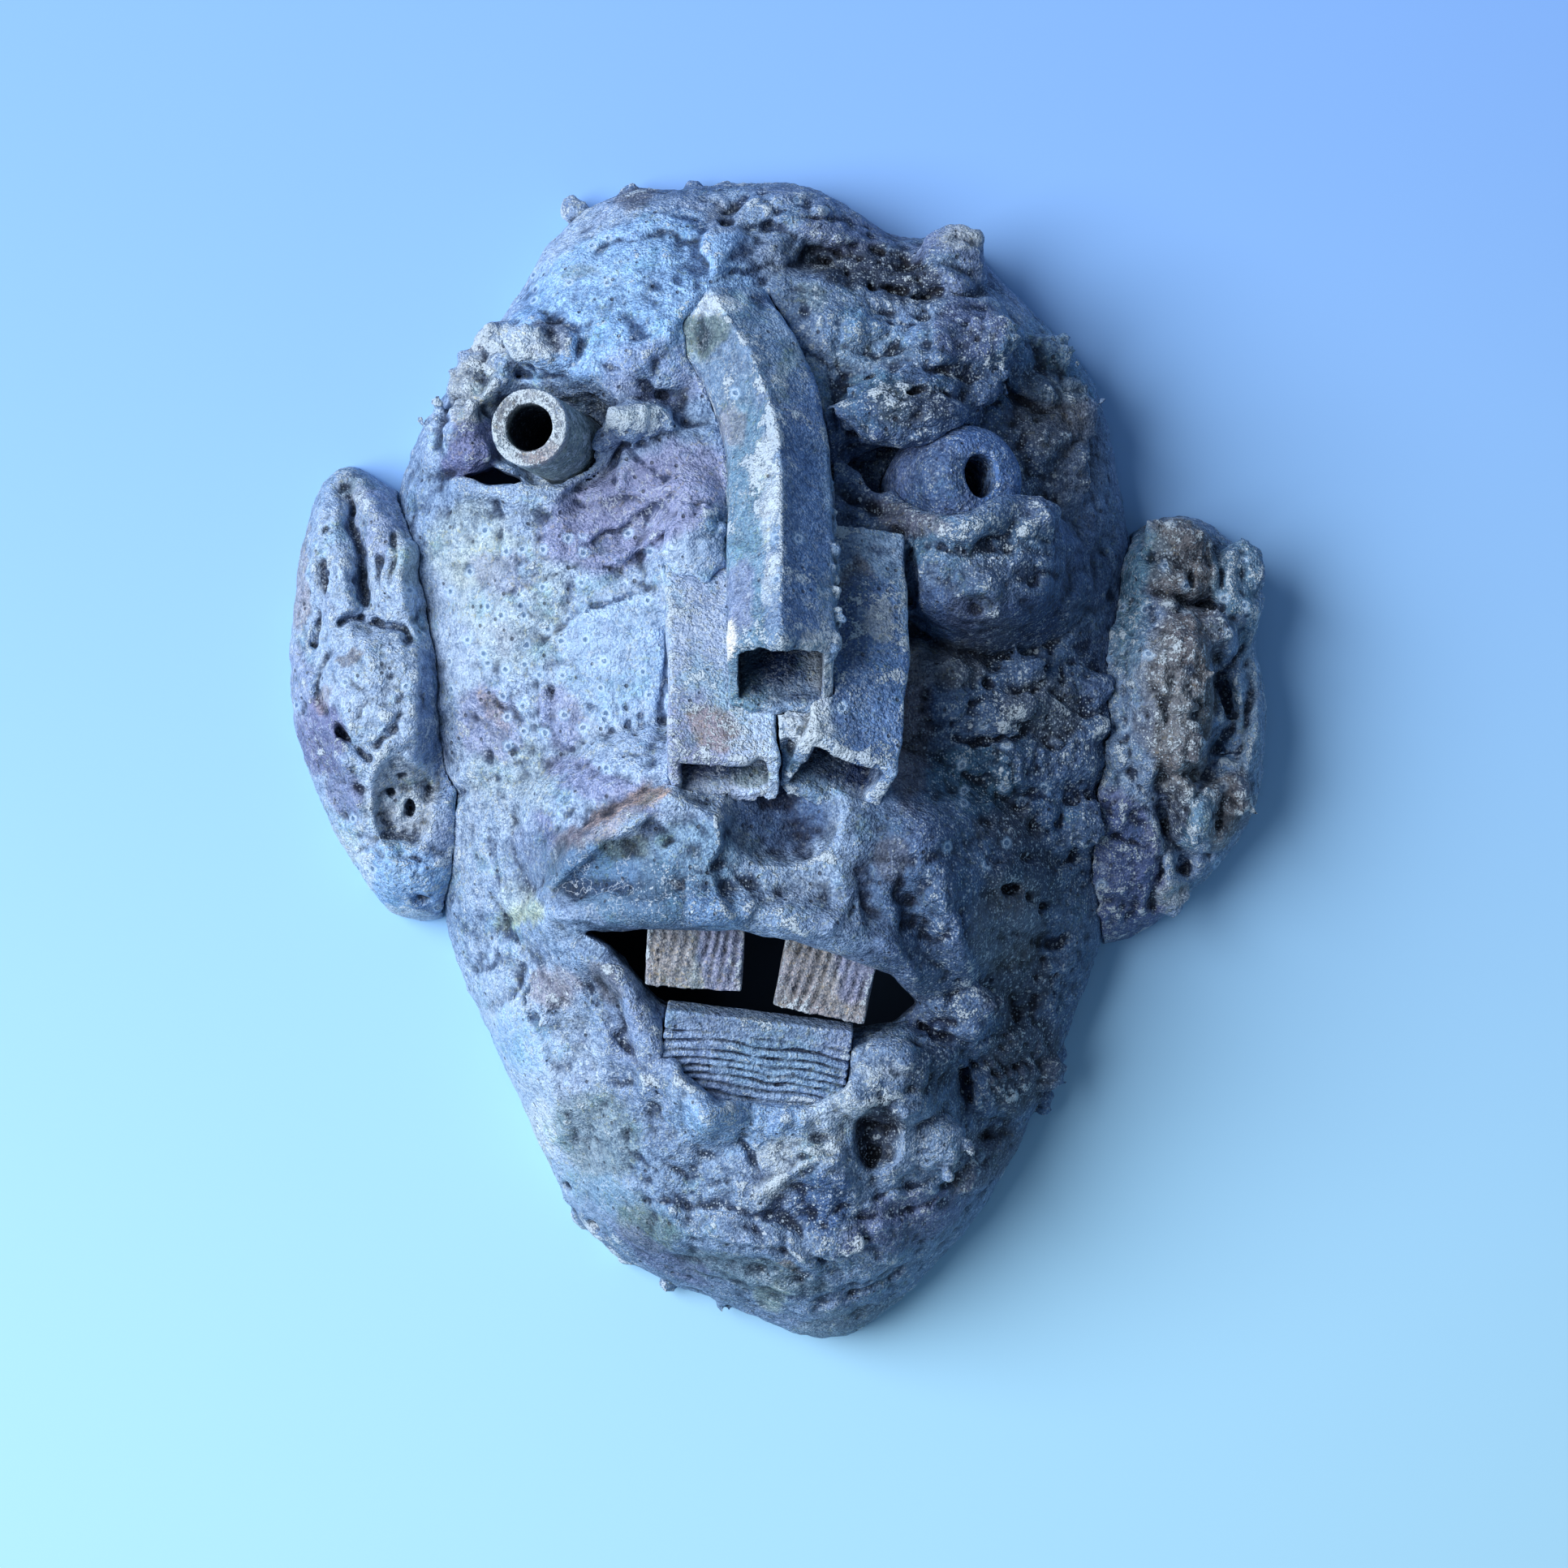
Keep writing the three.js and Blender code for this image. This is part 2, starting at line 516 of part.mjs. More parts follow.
function buildNodes() {
  const seamedFace = faceForm(SEAM);
  const skin = underLining(0);
  const underTubes = underLining(2 * SEAM);
  const [bridgeCutter, leftNostrilCutter, rightNostrilCutter] = [BRIDGE, LEFT_NOSTRIL, RIGHT_NOSTRIL]
    .map((shape) => loft(shape, SEAM));
  const cutters = [
    prism(MOUTH, -1, 200), prism(EYE_GAP, -1, 200), lipNotch(), nailNotch(),
    eyeTube(EYE_TUBE_RADIUS + SEAM, EYE_TUBE_LENGTH + 20, -30), eyeCone(SEAM), eyeConeBore(),
    bridgeCutter.subtract(skin), leftNostrilCutter.subtract(skin), rightNostrilCutter.subtract(skin),
    layeredBlock(SEAM), tooth(LEFT_TOOTH, SEAM), tooth(RIGHT_TOOTH, SEAM),
  ];
  const shell = cutters.reduce((rest, cutter) => rest.subtract(cutter), faceForm().subtract(faceHollow()));
  const bridge = clayTube(BRIDGE, 0.12).subtract(underTubes);
  const leftNostril = clayTube(LEFT_NOSTRIL, 0.2).subtract(bridgeCutter).subtract(underTubes);
  const eyeTubeBore = eyeTube(EYE_TUBE_BORE, EYE_TUBE_LENGTH + 5, -5);
  const rightNostril = clayTube(RIGHT_NOSTRIL, 0.2)
    .subtract(bridgeCutter).subtract(leftNostrilCutter).subtract(underTubes);
  return {
    face_shell: mainBody(shell),
    left_ear: ear(LEFT_EAR_OUTLINE, LEFT_EAR_CENTRE, LEFT_EAR_BOX, leftEarHeight, seamedFace),
    right_ear: ear(RIGHT_EAR_OUTLINE, RIGHT_EAR_CENTRE, RIGHT_EAR_BOX, rightEarHeight, seamedFace),
    nose_bridge_tube: mainBody(bridge),
    left_nostril_tube: mainBody(leftNostril),
    right_nostril_tube: mainBody(rightNostril),
    left_eye_tube: eyeTube(EYE_TUBE_RADIUS, EYE_TUBE_LENGTH).subtract(eyeTubeBore),
    right_eye_cone: eyeCone().subtract(eyeConeBore()),
    left_upper_tooth: mainBody(tooth(LEFT_TOOTH)),
    right_upper_tooth: mainBody(tooth(RIGHT_TOOTH)),
    lower_teeth_block: layeredBlock(),
  };
}

const COLOURS = {
  face_shell: "#8ea3c2",
  left_ear: "#a3b3c6",
  right_ear: "#6d7c93",
  nose_bridge_tube: "#93a7c4",
  left_nostril_tube: "#8f9fba",
  right_nostril_tube: "#5f7088",
  left_eye_tube: "#b9c4c4",
  right_eye_cone: "#66788f",
  left_upper_tooth: "#b0a89c",
  right_upper_tooth: "#a59c92",
  lower_teeth_block: "#8095b0",
};

const mask = new THREE.Group();
for (const [name, made] of Object.entries(buildNodes())) {
  const fired = new THREE.MeshStandardMaterial({ color: COLOURS[name], roughness: 0.85, metalness: 0 });
  const mesh = new THREE.Mesh(geometryOf(made), fired);
  mesh.name = name;
  mask.add(mesh);
}

export default mask;
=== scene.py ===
import math
from collections import namedtuple
from functools import partial

import bpy
import numpy as np
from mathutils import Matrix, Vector


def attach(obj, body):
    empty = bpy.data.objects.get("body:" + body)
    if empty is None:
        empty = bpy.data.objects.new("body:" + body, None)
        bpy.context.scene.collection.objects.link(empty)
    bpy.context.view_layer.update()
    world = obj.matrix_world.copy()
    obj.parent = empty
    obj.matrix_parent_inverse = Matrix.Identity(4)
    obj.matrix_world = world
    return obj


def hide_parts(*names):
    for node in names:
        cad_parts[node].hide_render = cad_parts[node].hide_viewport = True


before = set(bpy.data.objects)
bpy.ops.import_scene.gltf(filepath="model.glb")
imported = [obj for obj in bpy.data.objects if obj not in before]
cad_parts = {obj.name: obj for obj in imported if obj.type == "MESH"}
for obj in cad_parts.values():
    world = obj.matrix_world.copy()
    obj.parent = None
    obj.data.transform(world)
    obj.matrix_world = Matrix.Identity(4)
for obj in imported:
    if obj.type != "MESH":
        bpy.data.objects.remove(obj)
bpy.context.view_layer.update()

# Every length in this script is in millimetres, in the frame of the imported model, until a mesh is made.
MM = 0.001

# Form of the face, as in the solids.
RIM_HEIGHT = 8
DOME_HEIGHT = 80
DOME_FLATNESS = 2.6
DOME_ROUNDNESS = 0.55
FACE_WALL = 9.5
RIM_WIDTH = 10
HAND_WAVES = 0.9
LINING = 4
EAR_RIM = 7
EAR_HEIGHT = 50
EAR_WALL = 13
EAR_RIM_WIDTH = 11
SEAM = 0.35
TUBE_SEAM = 0.15
RIB_PITCH = 3.3
RIB_DEPTH = 0.9
BRIDGE_WIDTH = 32
BRIDGE_FLOOR = 25
BRIDGE_EAVES = 1.5
BRIDGE_RIDGE = 15
BRIDGE_WALL = 3.6
NOSTRIL_WALL = 3.4

# How much the plates stand up, how deep the drawn lines are, and how strongly the clay is kneaded.
PLATE_LIFT = 1.35
MARK_LIFT = 0.8
EVEN_KNEADING = 0.9
CRUMBLY_KNEADING = 2.3
# How far hand-made marks stray from their paths.
FACE_STRAYING = 2.2
EAR_STRAYING = 1.2
# The inside follows only lumps wider than this. It rises by this share of them, sinks with the whole of
# a dent, and lies lower by this much.
WIDE_LUMP = 24
INSIDE_SHARE = 0.85
INSIDE_DROP = 1.35

# Distance between the sample points of each piece, and the most triangles it may keep.
FACE_PITCH = 1.15
FACE_TRIANGLES = 188000
EAR_PITCH = 0.95
EAR_TRIANGLES = 90000
TUBE_PITCH = 0.75
TUBE_TRIANGLES = 70000
SMALL_PITCH = 0.55
SMALL_TRIANGLES = 45000

FACE_CENTRE = (-2.5, 8.5)
FACE_OUTLINE = [
    (-9, 190.5), (14, 188), (38, 174), (60, 172), (74, 159), (103, 127), (113, 91), (119, 48), (119, 12),
    (112, -41), (97, -87), (85, -116), (68, -148), (51, -167), (37, -181), (21, -190.5), (6, -189),
    (-14, -181), (-52, -164), (-69, -146), (-80, -124), (-96, -89), (-109, -57), (-117, 2), (-122, 40),
    (-125, 88), (-110, 123), (-86, 153), (-75, 172), (-53, 187), (-33, 189),
]
LEFT_EAR_CENTRE = (-113, 22)
LEFT_EAR_OUTLINE = [
    (-145, 97), (-134, 95), (-114, 78), (-99, 50), (-95, 15), (-97, -20), (-101, -44), (-111, -52.5),
    (-123, -52), (-132, -46), (-147, -22), (-158.5, 8), (-161, 30), (-158.5, 62), (-152.5, 86),
]
RIGHT_EAR_CENTRE = (114, 12)
RIGHT_EAR_OUTLINE = [
    (110, 66), (117, 76), (129, 81), (140, 79.5), (154, 68), (160, 55), (157.5, 40), (161, 18), (159, -10),
    (150, -29), (129, -50.5), (117, -58), (104, -61), (94, -50), (92, -10), (96, 36),
]
MOUTH = [
    (-60, -53), (-40, -52), (-10, -52), (3, -54.5), (20, -60), (35, -66), (44, -76), (37, -82), (20, -84.5),
    (0, -83), (-20, -79), (-34, -76.5), (-38, -74), (-45, -66), (-52, -58),
]
LIP_NOTCH = [(-35, -76), (-29, -97), (-19, -105), (10, -107), (21, -101), (27, -90), (23, -82)]
EYE_GAP = [(-100, 90), (-91, 94), (-82, 90), (-81, 86.5), (-92, 86.5)]

# The name of a form says where it lies. A turn is in degrees, and 0 where none is given.
Lump = namedtuple("Lump", "name at size high turn", defaults=[0])
Roll = namedtuple("Roll", "name path width high")
Plate = namedtuple("Plate", "name outline high edge")
Bit = namedtuple("Bit", "name at size lift turn", defaults=[0])
Zone = namedtuple("Zone", "at size strength turn", defaults=[0])
Stain = namedtuple("Stain", "colour at size strength turn", defaults=[0])
Shape = namedtuple("Shape", "low high distance")
Coat = namedtuple("Coat", "stain crust fresh rings frost calm")
Ear = namedtuple("Ear", "low high outline lumps rolls marks holes bits kneading seed")

FACE_LUMPS = [
    Lump("knob on the crown", (56, 160), (13, 13), 9),
    Lump("mass above the forehead", (26, 176), (44, 15), 6, -14),
    Lump("forehead slab", (-40, 150), (52, 34), 6, 30),
    Lump("right forehead", (40, 140), (46, 22), 7, -10),
    Lump("outer brow lump", (-97, 122), (13, 11), 8, 30),
    Lump("middle brow lump", (-85, 134), (14, 11), 9, 15),
    Lump("inner brow lump", (-73, 130), (11, 9), 6),
    Lump("temple", (-107, 104), (12, 13), 8),
    Lump("left eye socket", (-73, 102), (27, 21), -9),
    Lump("crusted lump on the flap", (-44, 106), (12, 7), 6, 15),
    Lump("right eye socket", (44, 90), (33, 16), -13),
    Lump("right upper lid", (41, 109), (24, 13), 14, 4),
    Lump("right brow", (60, 128), (24, 15), 6, 8),
    Lump("right cheek", (68, 58), (33, 25), 24),
    Lump("ramp beside the bridge", (-27, 64), (15, 27), 7),
    Lump("muzzle", (2, -32), (86, 44), 31, -8),
    Lump("philtrum", (1, -18), (19, 15), -9),
    Lump("lump below the mouth", (36, -98), (22, 16), 14),
    Lump("thumb hole", (31, -117), (8, 12), -10),
    Lump("slab on the chin", (47, -120), (18, 22), 5, -20),
    Lump("chin", (2, -132), (64, 50), 14),
    Lump("left jaw", (-66, -84), (30, 38), 8, 25),
]
FACE_ROLLS = [
    Roll("crown coil", [(-70, 178), (-40, 184), (-8, 185), (20, 182), (38, 169)], 10, 6),
    Roll("pitted crease", [(8, 161), (28, 155), (48, 149)], 9, -6),
    Roll("left lower lid", [(-100, 86), (-86, 84), (-70, 84), (-60, 94), (-50, 105)], 8, 6),
    Roll("right lower lid", [(20, 90), (33, 82), (42, 76), (57, 70), (72, 78), (84, 75)], 8, 8),
    Roll("crease under the cheek", [(44, 40), (60, 34), (84, 40), (94, 60)], 9, -7),
    Roll("upper lip", [(-72, -47), (-40, -46), (-8, -46), (20, -53), (37, -60), (50, -77)], 10, 8),
    Roll("top of the lip", [(-32, -12), (-60, -26), (-80, -46)], 9, 4),
    Roll("right lip roll", [(44, -22), (53, -48), (59, -70), (58, -86)], 14, 9),
    Roll("left lip roll", [(-68, -52), (-52, -64), (-41, -80), (-32, -97), (-22, -108)], 15, 13),
    Roll("lower lip", [(-22, -110), (0, -112), (20, -106)], 9, 5),
    Roll("groove in the left roll", [(-59, -66), (-51, -76), (-46, -90)], 5, -4),
    Roll("chin ledge", [(-34, -150), (-10, -153), (10, -160)], 8, 4),
]
# Where the inside is kept lower, under the deepest dents.
HOLLOW_DENTS = [
    Lump("under the philtrum", (1, -19), (28, 28), -7),
    Lump("under the right eye", (46, 92), (38, 28), -4),
    Lump("under the crease of the cheek", (48, 36), (24, 20), -5),
    Lump("under the layered block", (-4, -100), (44, 24), -6),
]
LEFT_EAR_LUMPS = [
    Lump("raised plate", (-128, 17), (20, 27), 8),
    Lump("crater", (-120, -14), (10, 16), -8),
    Lump("leaf dent", (-150, 42), (7, 15), -4),
    Lump("lobe", (-122, -38), (18, 13), 5),
]
LEFT_EAR_ROLLS = [
    Roll("groove between the folds", [(-140, 88), (-136, 74), (-132, 56), (-130, 44)], 7, -8),
    Roll("inner fold", [(-128, 82), (-120, 68), (-117, 52)], 9, 5),
    Roll("step down to the face", [(-113, 60), (-107, 36), (-106, 12), (-110, -8)], 8, -11),
]
LEFT_EAR_MARKS = [
    Roll("deep groove", [(-139, 89), (-137, 76), (-133, 66), (-134, 57), (-131, 47)], 3, -5),
    Roll("edge of the plate", [(-131, 46), (-126, 43), (-120, 42), (-115, 36)], 2.4, -4),
    Roll("upper edge of the plate", [(-141, 38), (-146, 30), (-148, 20), (-143, 12)], 3, -3.5),
    Roll("cut under the plate", [(-142, 13), (-137, 8), (-131, 1), (-128, -2)], 3, -5),
    Roll("second groove", [(-131, 46), (-137, 45), (-141, 43)], 2.4, -4),
    Roll("curl beside the gap", [(-112, 50), (-116, 44), (-112, 40)], 2.5, -3),
    Roll("branch on the plate", [(-129, 2), (-122, 9), (-117, 16)], 2.2, -2.5),
    Roll("wrinkle on the upper fold", [(-124, 76), (-121, 66), (-124, 56)], 2.4, -2.5),
    Roll("second wrinkle", [(-128, 66), (-127, 56), (-122, 50)], 2, -2),
    Roll("fold of the outer sheet", [(-147, 88), (-148, 70), (-151, 56)], 3, 2),
    Roll("leaf edge", [(-153, 50), (-154, 42), (-150, 33)], 2, 2),
    Roll("rib beside the purple patch", [(-138, 4), (-137, -8), (-133, -18)], 3, 3),
    Roll("dent of the purple patch", [(-150, 10), (-146, 0), (-142, -12), (-137, -24)], 6, -3),
    Roll("edge of the lobe", [(-132, -28), (-122, -30), (-108, -34)], 3, -2.5),
]
LEFT_EAR_HOLES = [
    Bit("hole under the plate", (-138, 8), (3.4, 1.8, 6), 0, -35),
    Bit("hole in the crater", (-118, -15), (2.2, 3.4, 7), 0),
    Bit("second hole in the crater", (-124, -10), (1.6, 1.8, 4), 0),
    Bit("third hole in the crater", (-120, -5), (2.4, 1.6, 3), 0),
    Bit("leaf-shaped pit", (-149, 42), (2.4, 7, 5), 0, -8),
    Bit("rough pit", (-146, 60), (2.6, 7, 3), 0, 6),
    Bit("dimple in the lobe", (-115, -45), (3, 3, 3), 0),
]
RIGHT_EAR_LUMPS = [
    Lump("top lobe", (125, 65), (19, 17), 10),
    Lump("outer lobe", (149, 58), (11, 16), 8),
    Lump("middle lobe", (135, 38), (13, 12), 8),
    Lump("trunk", (125, 18), (15, 34), 10),
    Lump("lower lump", (136, -18), (12, 12), 7),
    Lump("lobe end", (126, -45), (12, 9), 4, 30),
]
RIGHT_EAR_ROLLS = [
    Roll("outer rim", [(153, 46), (155, 15), (150, -14), (138, -36)], 8, 6),
    Roll("inner gap", [(140, 32), (146, 12), (136, -4)], 7, -8),
    Roll("crevice", [(130, 51), (141, 49)], 5, -5),
    Roll("groove under the trunk", [(122, -8), (126, -20), (131, -34)], 6, -7),
]
RIGHT_EAR_MARKS = [
    Roll("crease round the top lobe", [(108, 60), (116, 54), (126, 52), (133, 50), (141, 51)], 3, -3.2),
    Roll("crease beside the outer lobe", [(140, 72), (141, 62), (143, 52)], 3, -3),
    Roll("crease under the outer lobe", [(144, 46), (149, 44), (155, 46)], 3, -2.4),
    Roll("crease under the middle lobe", [(143, 40), (140, 33), (136, 30)], 3, -2.6),
    Roll("edge of the trunk", [(141, 28), (140, 18), (135, 8), (130, -2)], 3, -4.5),
    Roll("hollow inside the rim", [(150, 40), (152, 24), (150, 8), (146, -2)], 3.4, -4),
    Roll("strip inside the rim", [(146, 30), (149, 14), (147, 2)], 2.4, 3),
    Roll("end of the trunk", [(121, 2), (123, -5), (130, -5), (135, -1)], 3, -3.4),
    Roll("crease in the lower lump", [(141, -22), (139, -30), (136, -36)], 3, -2.4),
    Roll("second crease in the lower lump", [(142, -8), (141, -18), (145, -24)], 2.6, -3),
    Roll("side of the purple slab", [(122, -10), (124, -26), (122, -40), (119, -52)], 3, -4),
    Roll("step on the purple slab", [(104, -22), (112, -26), (122, -28)], 2.4, -2),
    Roll("wrinkle in the top lobe", [(116, 76), (120, 68), (118, 60)], 2.6, -2),
    Roll("second wrinkle in the top lobe", [(131, 68), (132, 60), (137, 56)], 3, -2),
]
RIGHT_EAR_HOLES = [
    Bit("dark gap by the trunk", (133, -5), (4, 2.2, 5), 0, 20),
    Bit("crevice in the top lobe", (132, 58), (1.4, 3.4, 4), 0),
    Bit("crevice between lobes", (138, 50), (4, 1.3, 5), 0),
    Bit("gap inside the rim", (144, 20), (1.8, 6, 5), 0, 10),
    Bit("hole in the lower lump", (141, -21), (1.8, 2.4, 4), 0),
]
RIGHT_EAR_BITS = [
    Bit("curl on the middle lobe", (138, 42), (6, 5, 4), -1, 20),
    Bit("bulge of the trunk", (125, 26), (10, 13, 5), -1.5, 10),
    Bit("lower bulge of the trunk", (127, 6), (8, 8, 5), -1.5),
    Bit("bulge of the top lobe", (127, 68), (11, 9, 6), -2, -20),
    Bit("bulge of the outer lobe", (150, 61), (7, 11, 6), -2, 10),
    Bit("lump by the rim", (146, -10), (6, 9, 5), -1, 10),
    Bit("lower lump", (134, -18), (4, 8, 5), -1, -10),
    Bit("lump at the end", (128, -44), (5, 7, 4), -1, -30),
]

# Slabs of clay laid on each other, whose cut edges show as small steps.
FACE_PLATES = [
    Plate("forehead slab", [(-71, 175), (-60, 182), (-50, 180), (-43, 178), (-35, 179), (-20, 177),
                            (-11, 168), (-19, 152), (-28, 141), (-33, 130), (-46, 118), (-64, 119),
                            (-72, 137), (-86, 141), (-95, 150), (-80, 165)], 1.9, 4),
    Plate("crown slab", [(-19, 174), (-6, 180), (12, 170), (6, 160), (-4, 157), (-20, 152), (-25, 163)],
          2.2, 2.5),
    Plate("brow plate", [(47, 144), (55, 147), (70, 149), (73, 140), (71, 122), (60, 124), (48, 122)],
          2.6, 1.6),
    Plate("flap under the eye", [(-70, 84), (-62, 93), (-55, 100), (-50, 107), (-38, 109), (-28, 104),
                                 (-8, 100), (-4, 66), (-20, 72), (-34, 79), (-50, 84), (-60, 80)], 1.8, 2),
    Plate("cheek panel", [(-36, 50), (-42, 52), (-60, 45), (-76, 32), (-74, 12), (-62, 3), (-40, 2),
                          (-36, 20)], 1.5, 1.6),
    Plate("sheet beside the nostril", [(-35, 56), (-28, 72), (-4, 74), (-6, 20), (-17, 0), (-30, -8),
                                       (-34, 4)], 2.2, 1.6),
    Plate("muzzle slab", [(-32, -9), (-45, -14), (-58, -21), (-71, -35), (-79, -46), (-66, -50), (-30, -51),
                          (-12, -50), (-20, -34), (-14, -18)], 3.6, 3),
    Plate("slab on the lip", [(-28, -37), (-15, -33), (-7, -44), (-11, -51), (-28, -51)], 1.4, 1.2),
    Plate("jaw sheet", [(-100, -70), (-86, -66), (-78, -78), (-72, -100), (-66, -120), (-78, -126)], 1.4, 2),
    Plate("right cheek slab", [(39, 66), (47, 70), (62, 66), (76, 71), (88, 64), (88, 48), (70, 42),
                               (44, 44)], 2, 2.5),
    Plate("outer cheek slab", [(68, -12), (80, -10), (94, -18), (104, -26), (100, 10), (84, 22),
                               (70, 16)], 2, 1.8),
    Plate("slab below the mouth", [(38, -112), (50, -110), (58, -115), (52, -122), (38, -130),
                                    (29, -128)], 2.2, 1.6),
    Plate("chin plate", [(12, -127), (24, -129), (26, -148), (12, -147)], 1.2, 1.2),
    Plate("chin ledge slab", [(-40, -140), (-8, -142), (12, -150), (14, -160), (-6, -155),
                               (-38, -157)], 2, 2.5),
    Plate("lower jaw slab", [(20, -140), (45, -134), (62, -140), (50, -158), (24, -166), (14, -152)], 2.2, 2),
    Plate("right jaw slab", [(62, -88), (84, -86), (90, -100), (78, -116), (62, -112)], 2.2, 2),
]
# Scored lines, folds and creases, and the ridges beside them.
FACE_MARKS = [
    Roll("tool groove", [(-68, 172), (-62, 174.5), (-56, 177.5)], 2.2, -2),
    Roll("crease on the crown", [(-18, 173), (-14, 178), (-10, 183)], 3, -3.6),
    Roll("second crease on the crown", [(-5, 168), (-2, 173), (1, 178)], 2.4, -2.6),
    Roll("scoop", [(-11, 159), (-5, 157), (1, 160)], 2.6, -2.2),
    Roll("fold beside the scoop", [(-8, 152), (0, 156), (8, 165), (22, 166)], 2.6, 1.6),
    Roll("crease above the brow plate", [(47, 124), (56, 122.5), (66, 125)], 2, -2),
    Roll("step right of the brow plate", [(75, 146), (75, 132), (74, 120)], 3.5, -3),
    Roll("dart in the flap", [(-47, 96), (-40, 92), (-31, 87)], 1.5, -2.2),
    Roll("ridge under the flap", [(-52, 60), (-42, 68), (-33, 77)], 1.8, 1.4),
    Roll("long cheek line", [(-92, 50), (-76, 55), (-62, 62), (-46, 66)], 1.6, -1.2),
    Roll("cheek line", [(-62, 44), (-50, 50), (-38, 52), (-36, 38)], 1.4, -1.3),
    Roll("upright line by the nostril", [(-34, 52), (-34, 30), (-33, 6)], 1.3, -1.1),
    Roll("groove on the cheek", [(-95, 15), (-88, 8), (-80, 0)], 2.6, -1.7),
    Roll("second groove on the cheek", [(-90, 19), (-80, 12), (-72, 8)], 2.6, -1.8),
    Roll("third groove on the cheek", [(-73, 26), (-70, 14), (-65, 4)], 2.6, -2),
    Roll("fourth groove on the cheek", [(-88, -6), (-84, -16), (-79, -24)], 2.4, -1.4),
    Roll("fifth groove on the cheek", [(-66, 2), (-56, -4), (-42, -8)], 2.6, -1.6),
    Roll("scratch", [(-62, 19), (-54, 14), (-49, 6)], 1.5, -1.4),
    Roll("second scratch", [(-49, 19), (-46, 11), (-40, 4)], 1.5, -1.4),
    Roll("third scratch", [(-60, 6), (-50, 9), (-39, 17)], 1.5, -1.3),
    Roll("fourth scratch", [(-52, 20), (-50, 12), (-53, 4)], 1.5, -1.2),
    Roll("fifth scratch", [(-44, 20), (-42, 12), (-44, 5)], 1.4, -1.2),
    Roll("sixth scratch", [(-58, 13), (-50, 4), (-42, 1)], 1.4, -1.2),
    Roll("seventh scratch", [(-47, 15), (-40, 13), (-36, 16)], 1.4, -1),
    Roll("line under the flap", [(-64, 62), (-50, 58), (-36, 52)], 1.6, -1),
    Roll("second fold above the lip", [(-58, -10), (-68, -22), (-78, -30)], 2.4, -1.6),
    Roll("edge of the lip slab", [(-28, -36), (-28, -50)], 1.4, -1.6),
    Roll("ridge on the right lip", [(22, -34), (24, -44), (25, -53)], 2.4, 2.4),
    Roll("groove in the left roll", [(-57, -64), (-50, -73), (-45, -88)], 3, -2.6),
    Roll("seam on the jaw", [(-95, -40), (-86, -48), (-80, -62)], 2.2, -1.8),
    Roll("crusted line on the chin", [(28, -137), (42, -134), (56, -128)], 2.6, -2.4),
    Roll("lower chin line", [(8, -172), (28, -170), (46, -160)], 2.2, -1.8),
    Roll("crease beside the slab", [(58, -96), (59, -108), (60, -124)], 3, -3.4),
    Roll("edge of the cheek slab", [(66, -12), (80, -9), (96, -16)], 2.2, -2.2),
    Roll("curl on the cheek", [(58, 16), (64, 20), (71, 18)], 2.4, -2.6),
    Roll("cheek crease", [(85, 44), (90, 52), (94, 64)], 3, -3),
    Roll("crease by the ear", [(92, 66), (100, 68), (107, 66)], 2.4, -2.4),
    Roll("second crease by the ear", [(100, 30), (106, 24), (112, 26)], 2.6, -2.6),
    Roll("crease below the eye", [(100, 2), (106, 8), (112, 6)], 2.4, -2),
    Roll("temple crease", [(-101, 90), (-94, 93), (-88, 97), (-86, 104)], 2.6, -2.6),
    Roll("brow crease", [(-102, 128), (-94, 129), (-88, 124), (-80, 122), (-72, 124)], 2.4, -2.4),
    Roll("cheek fold under the temple", [(-104, 88), (-92, 82), (-80, 80)], 2.2, -1.8),
]
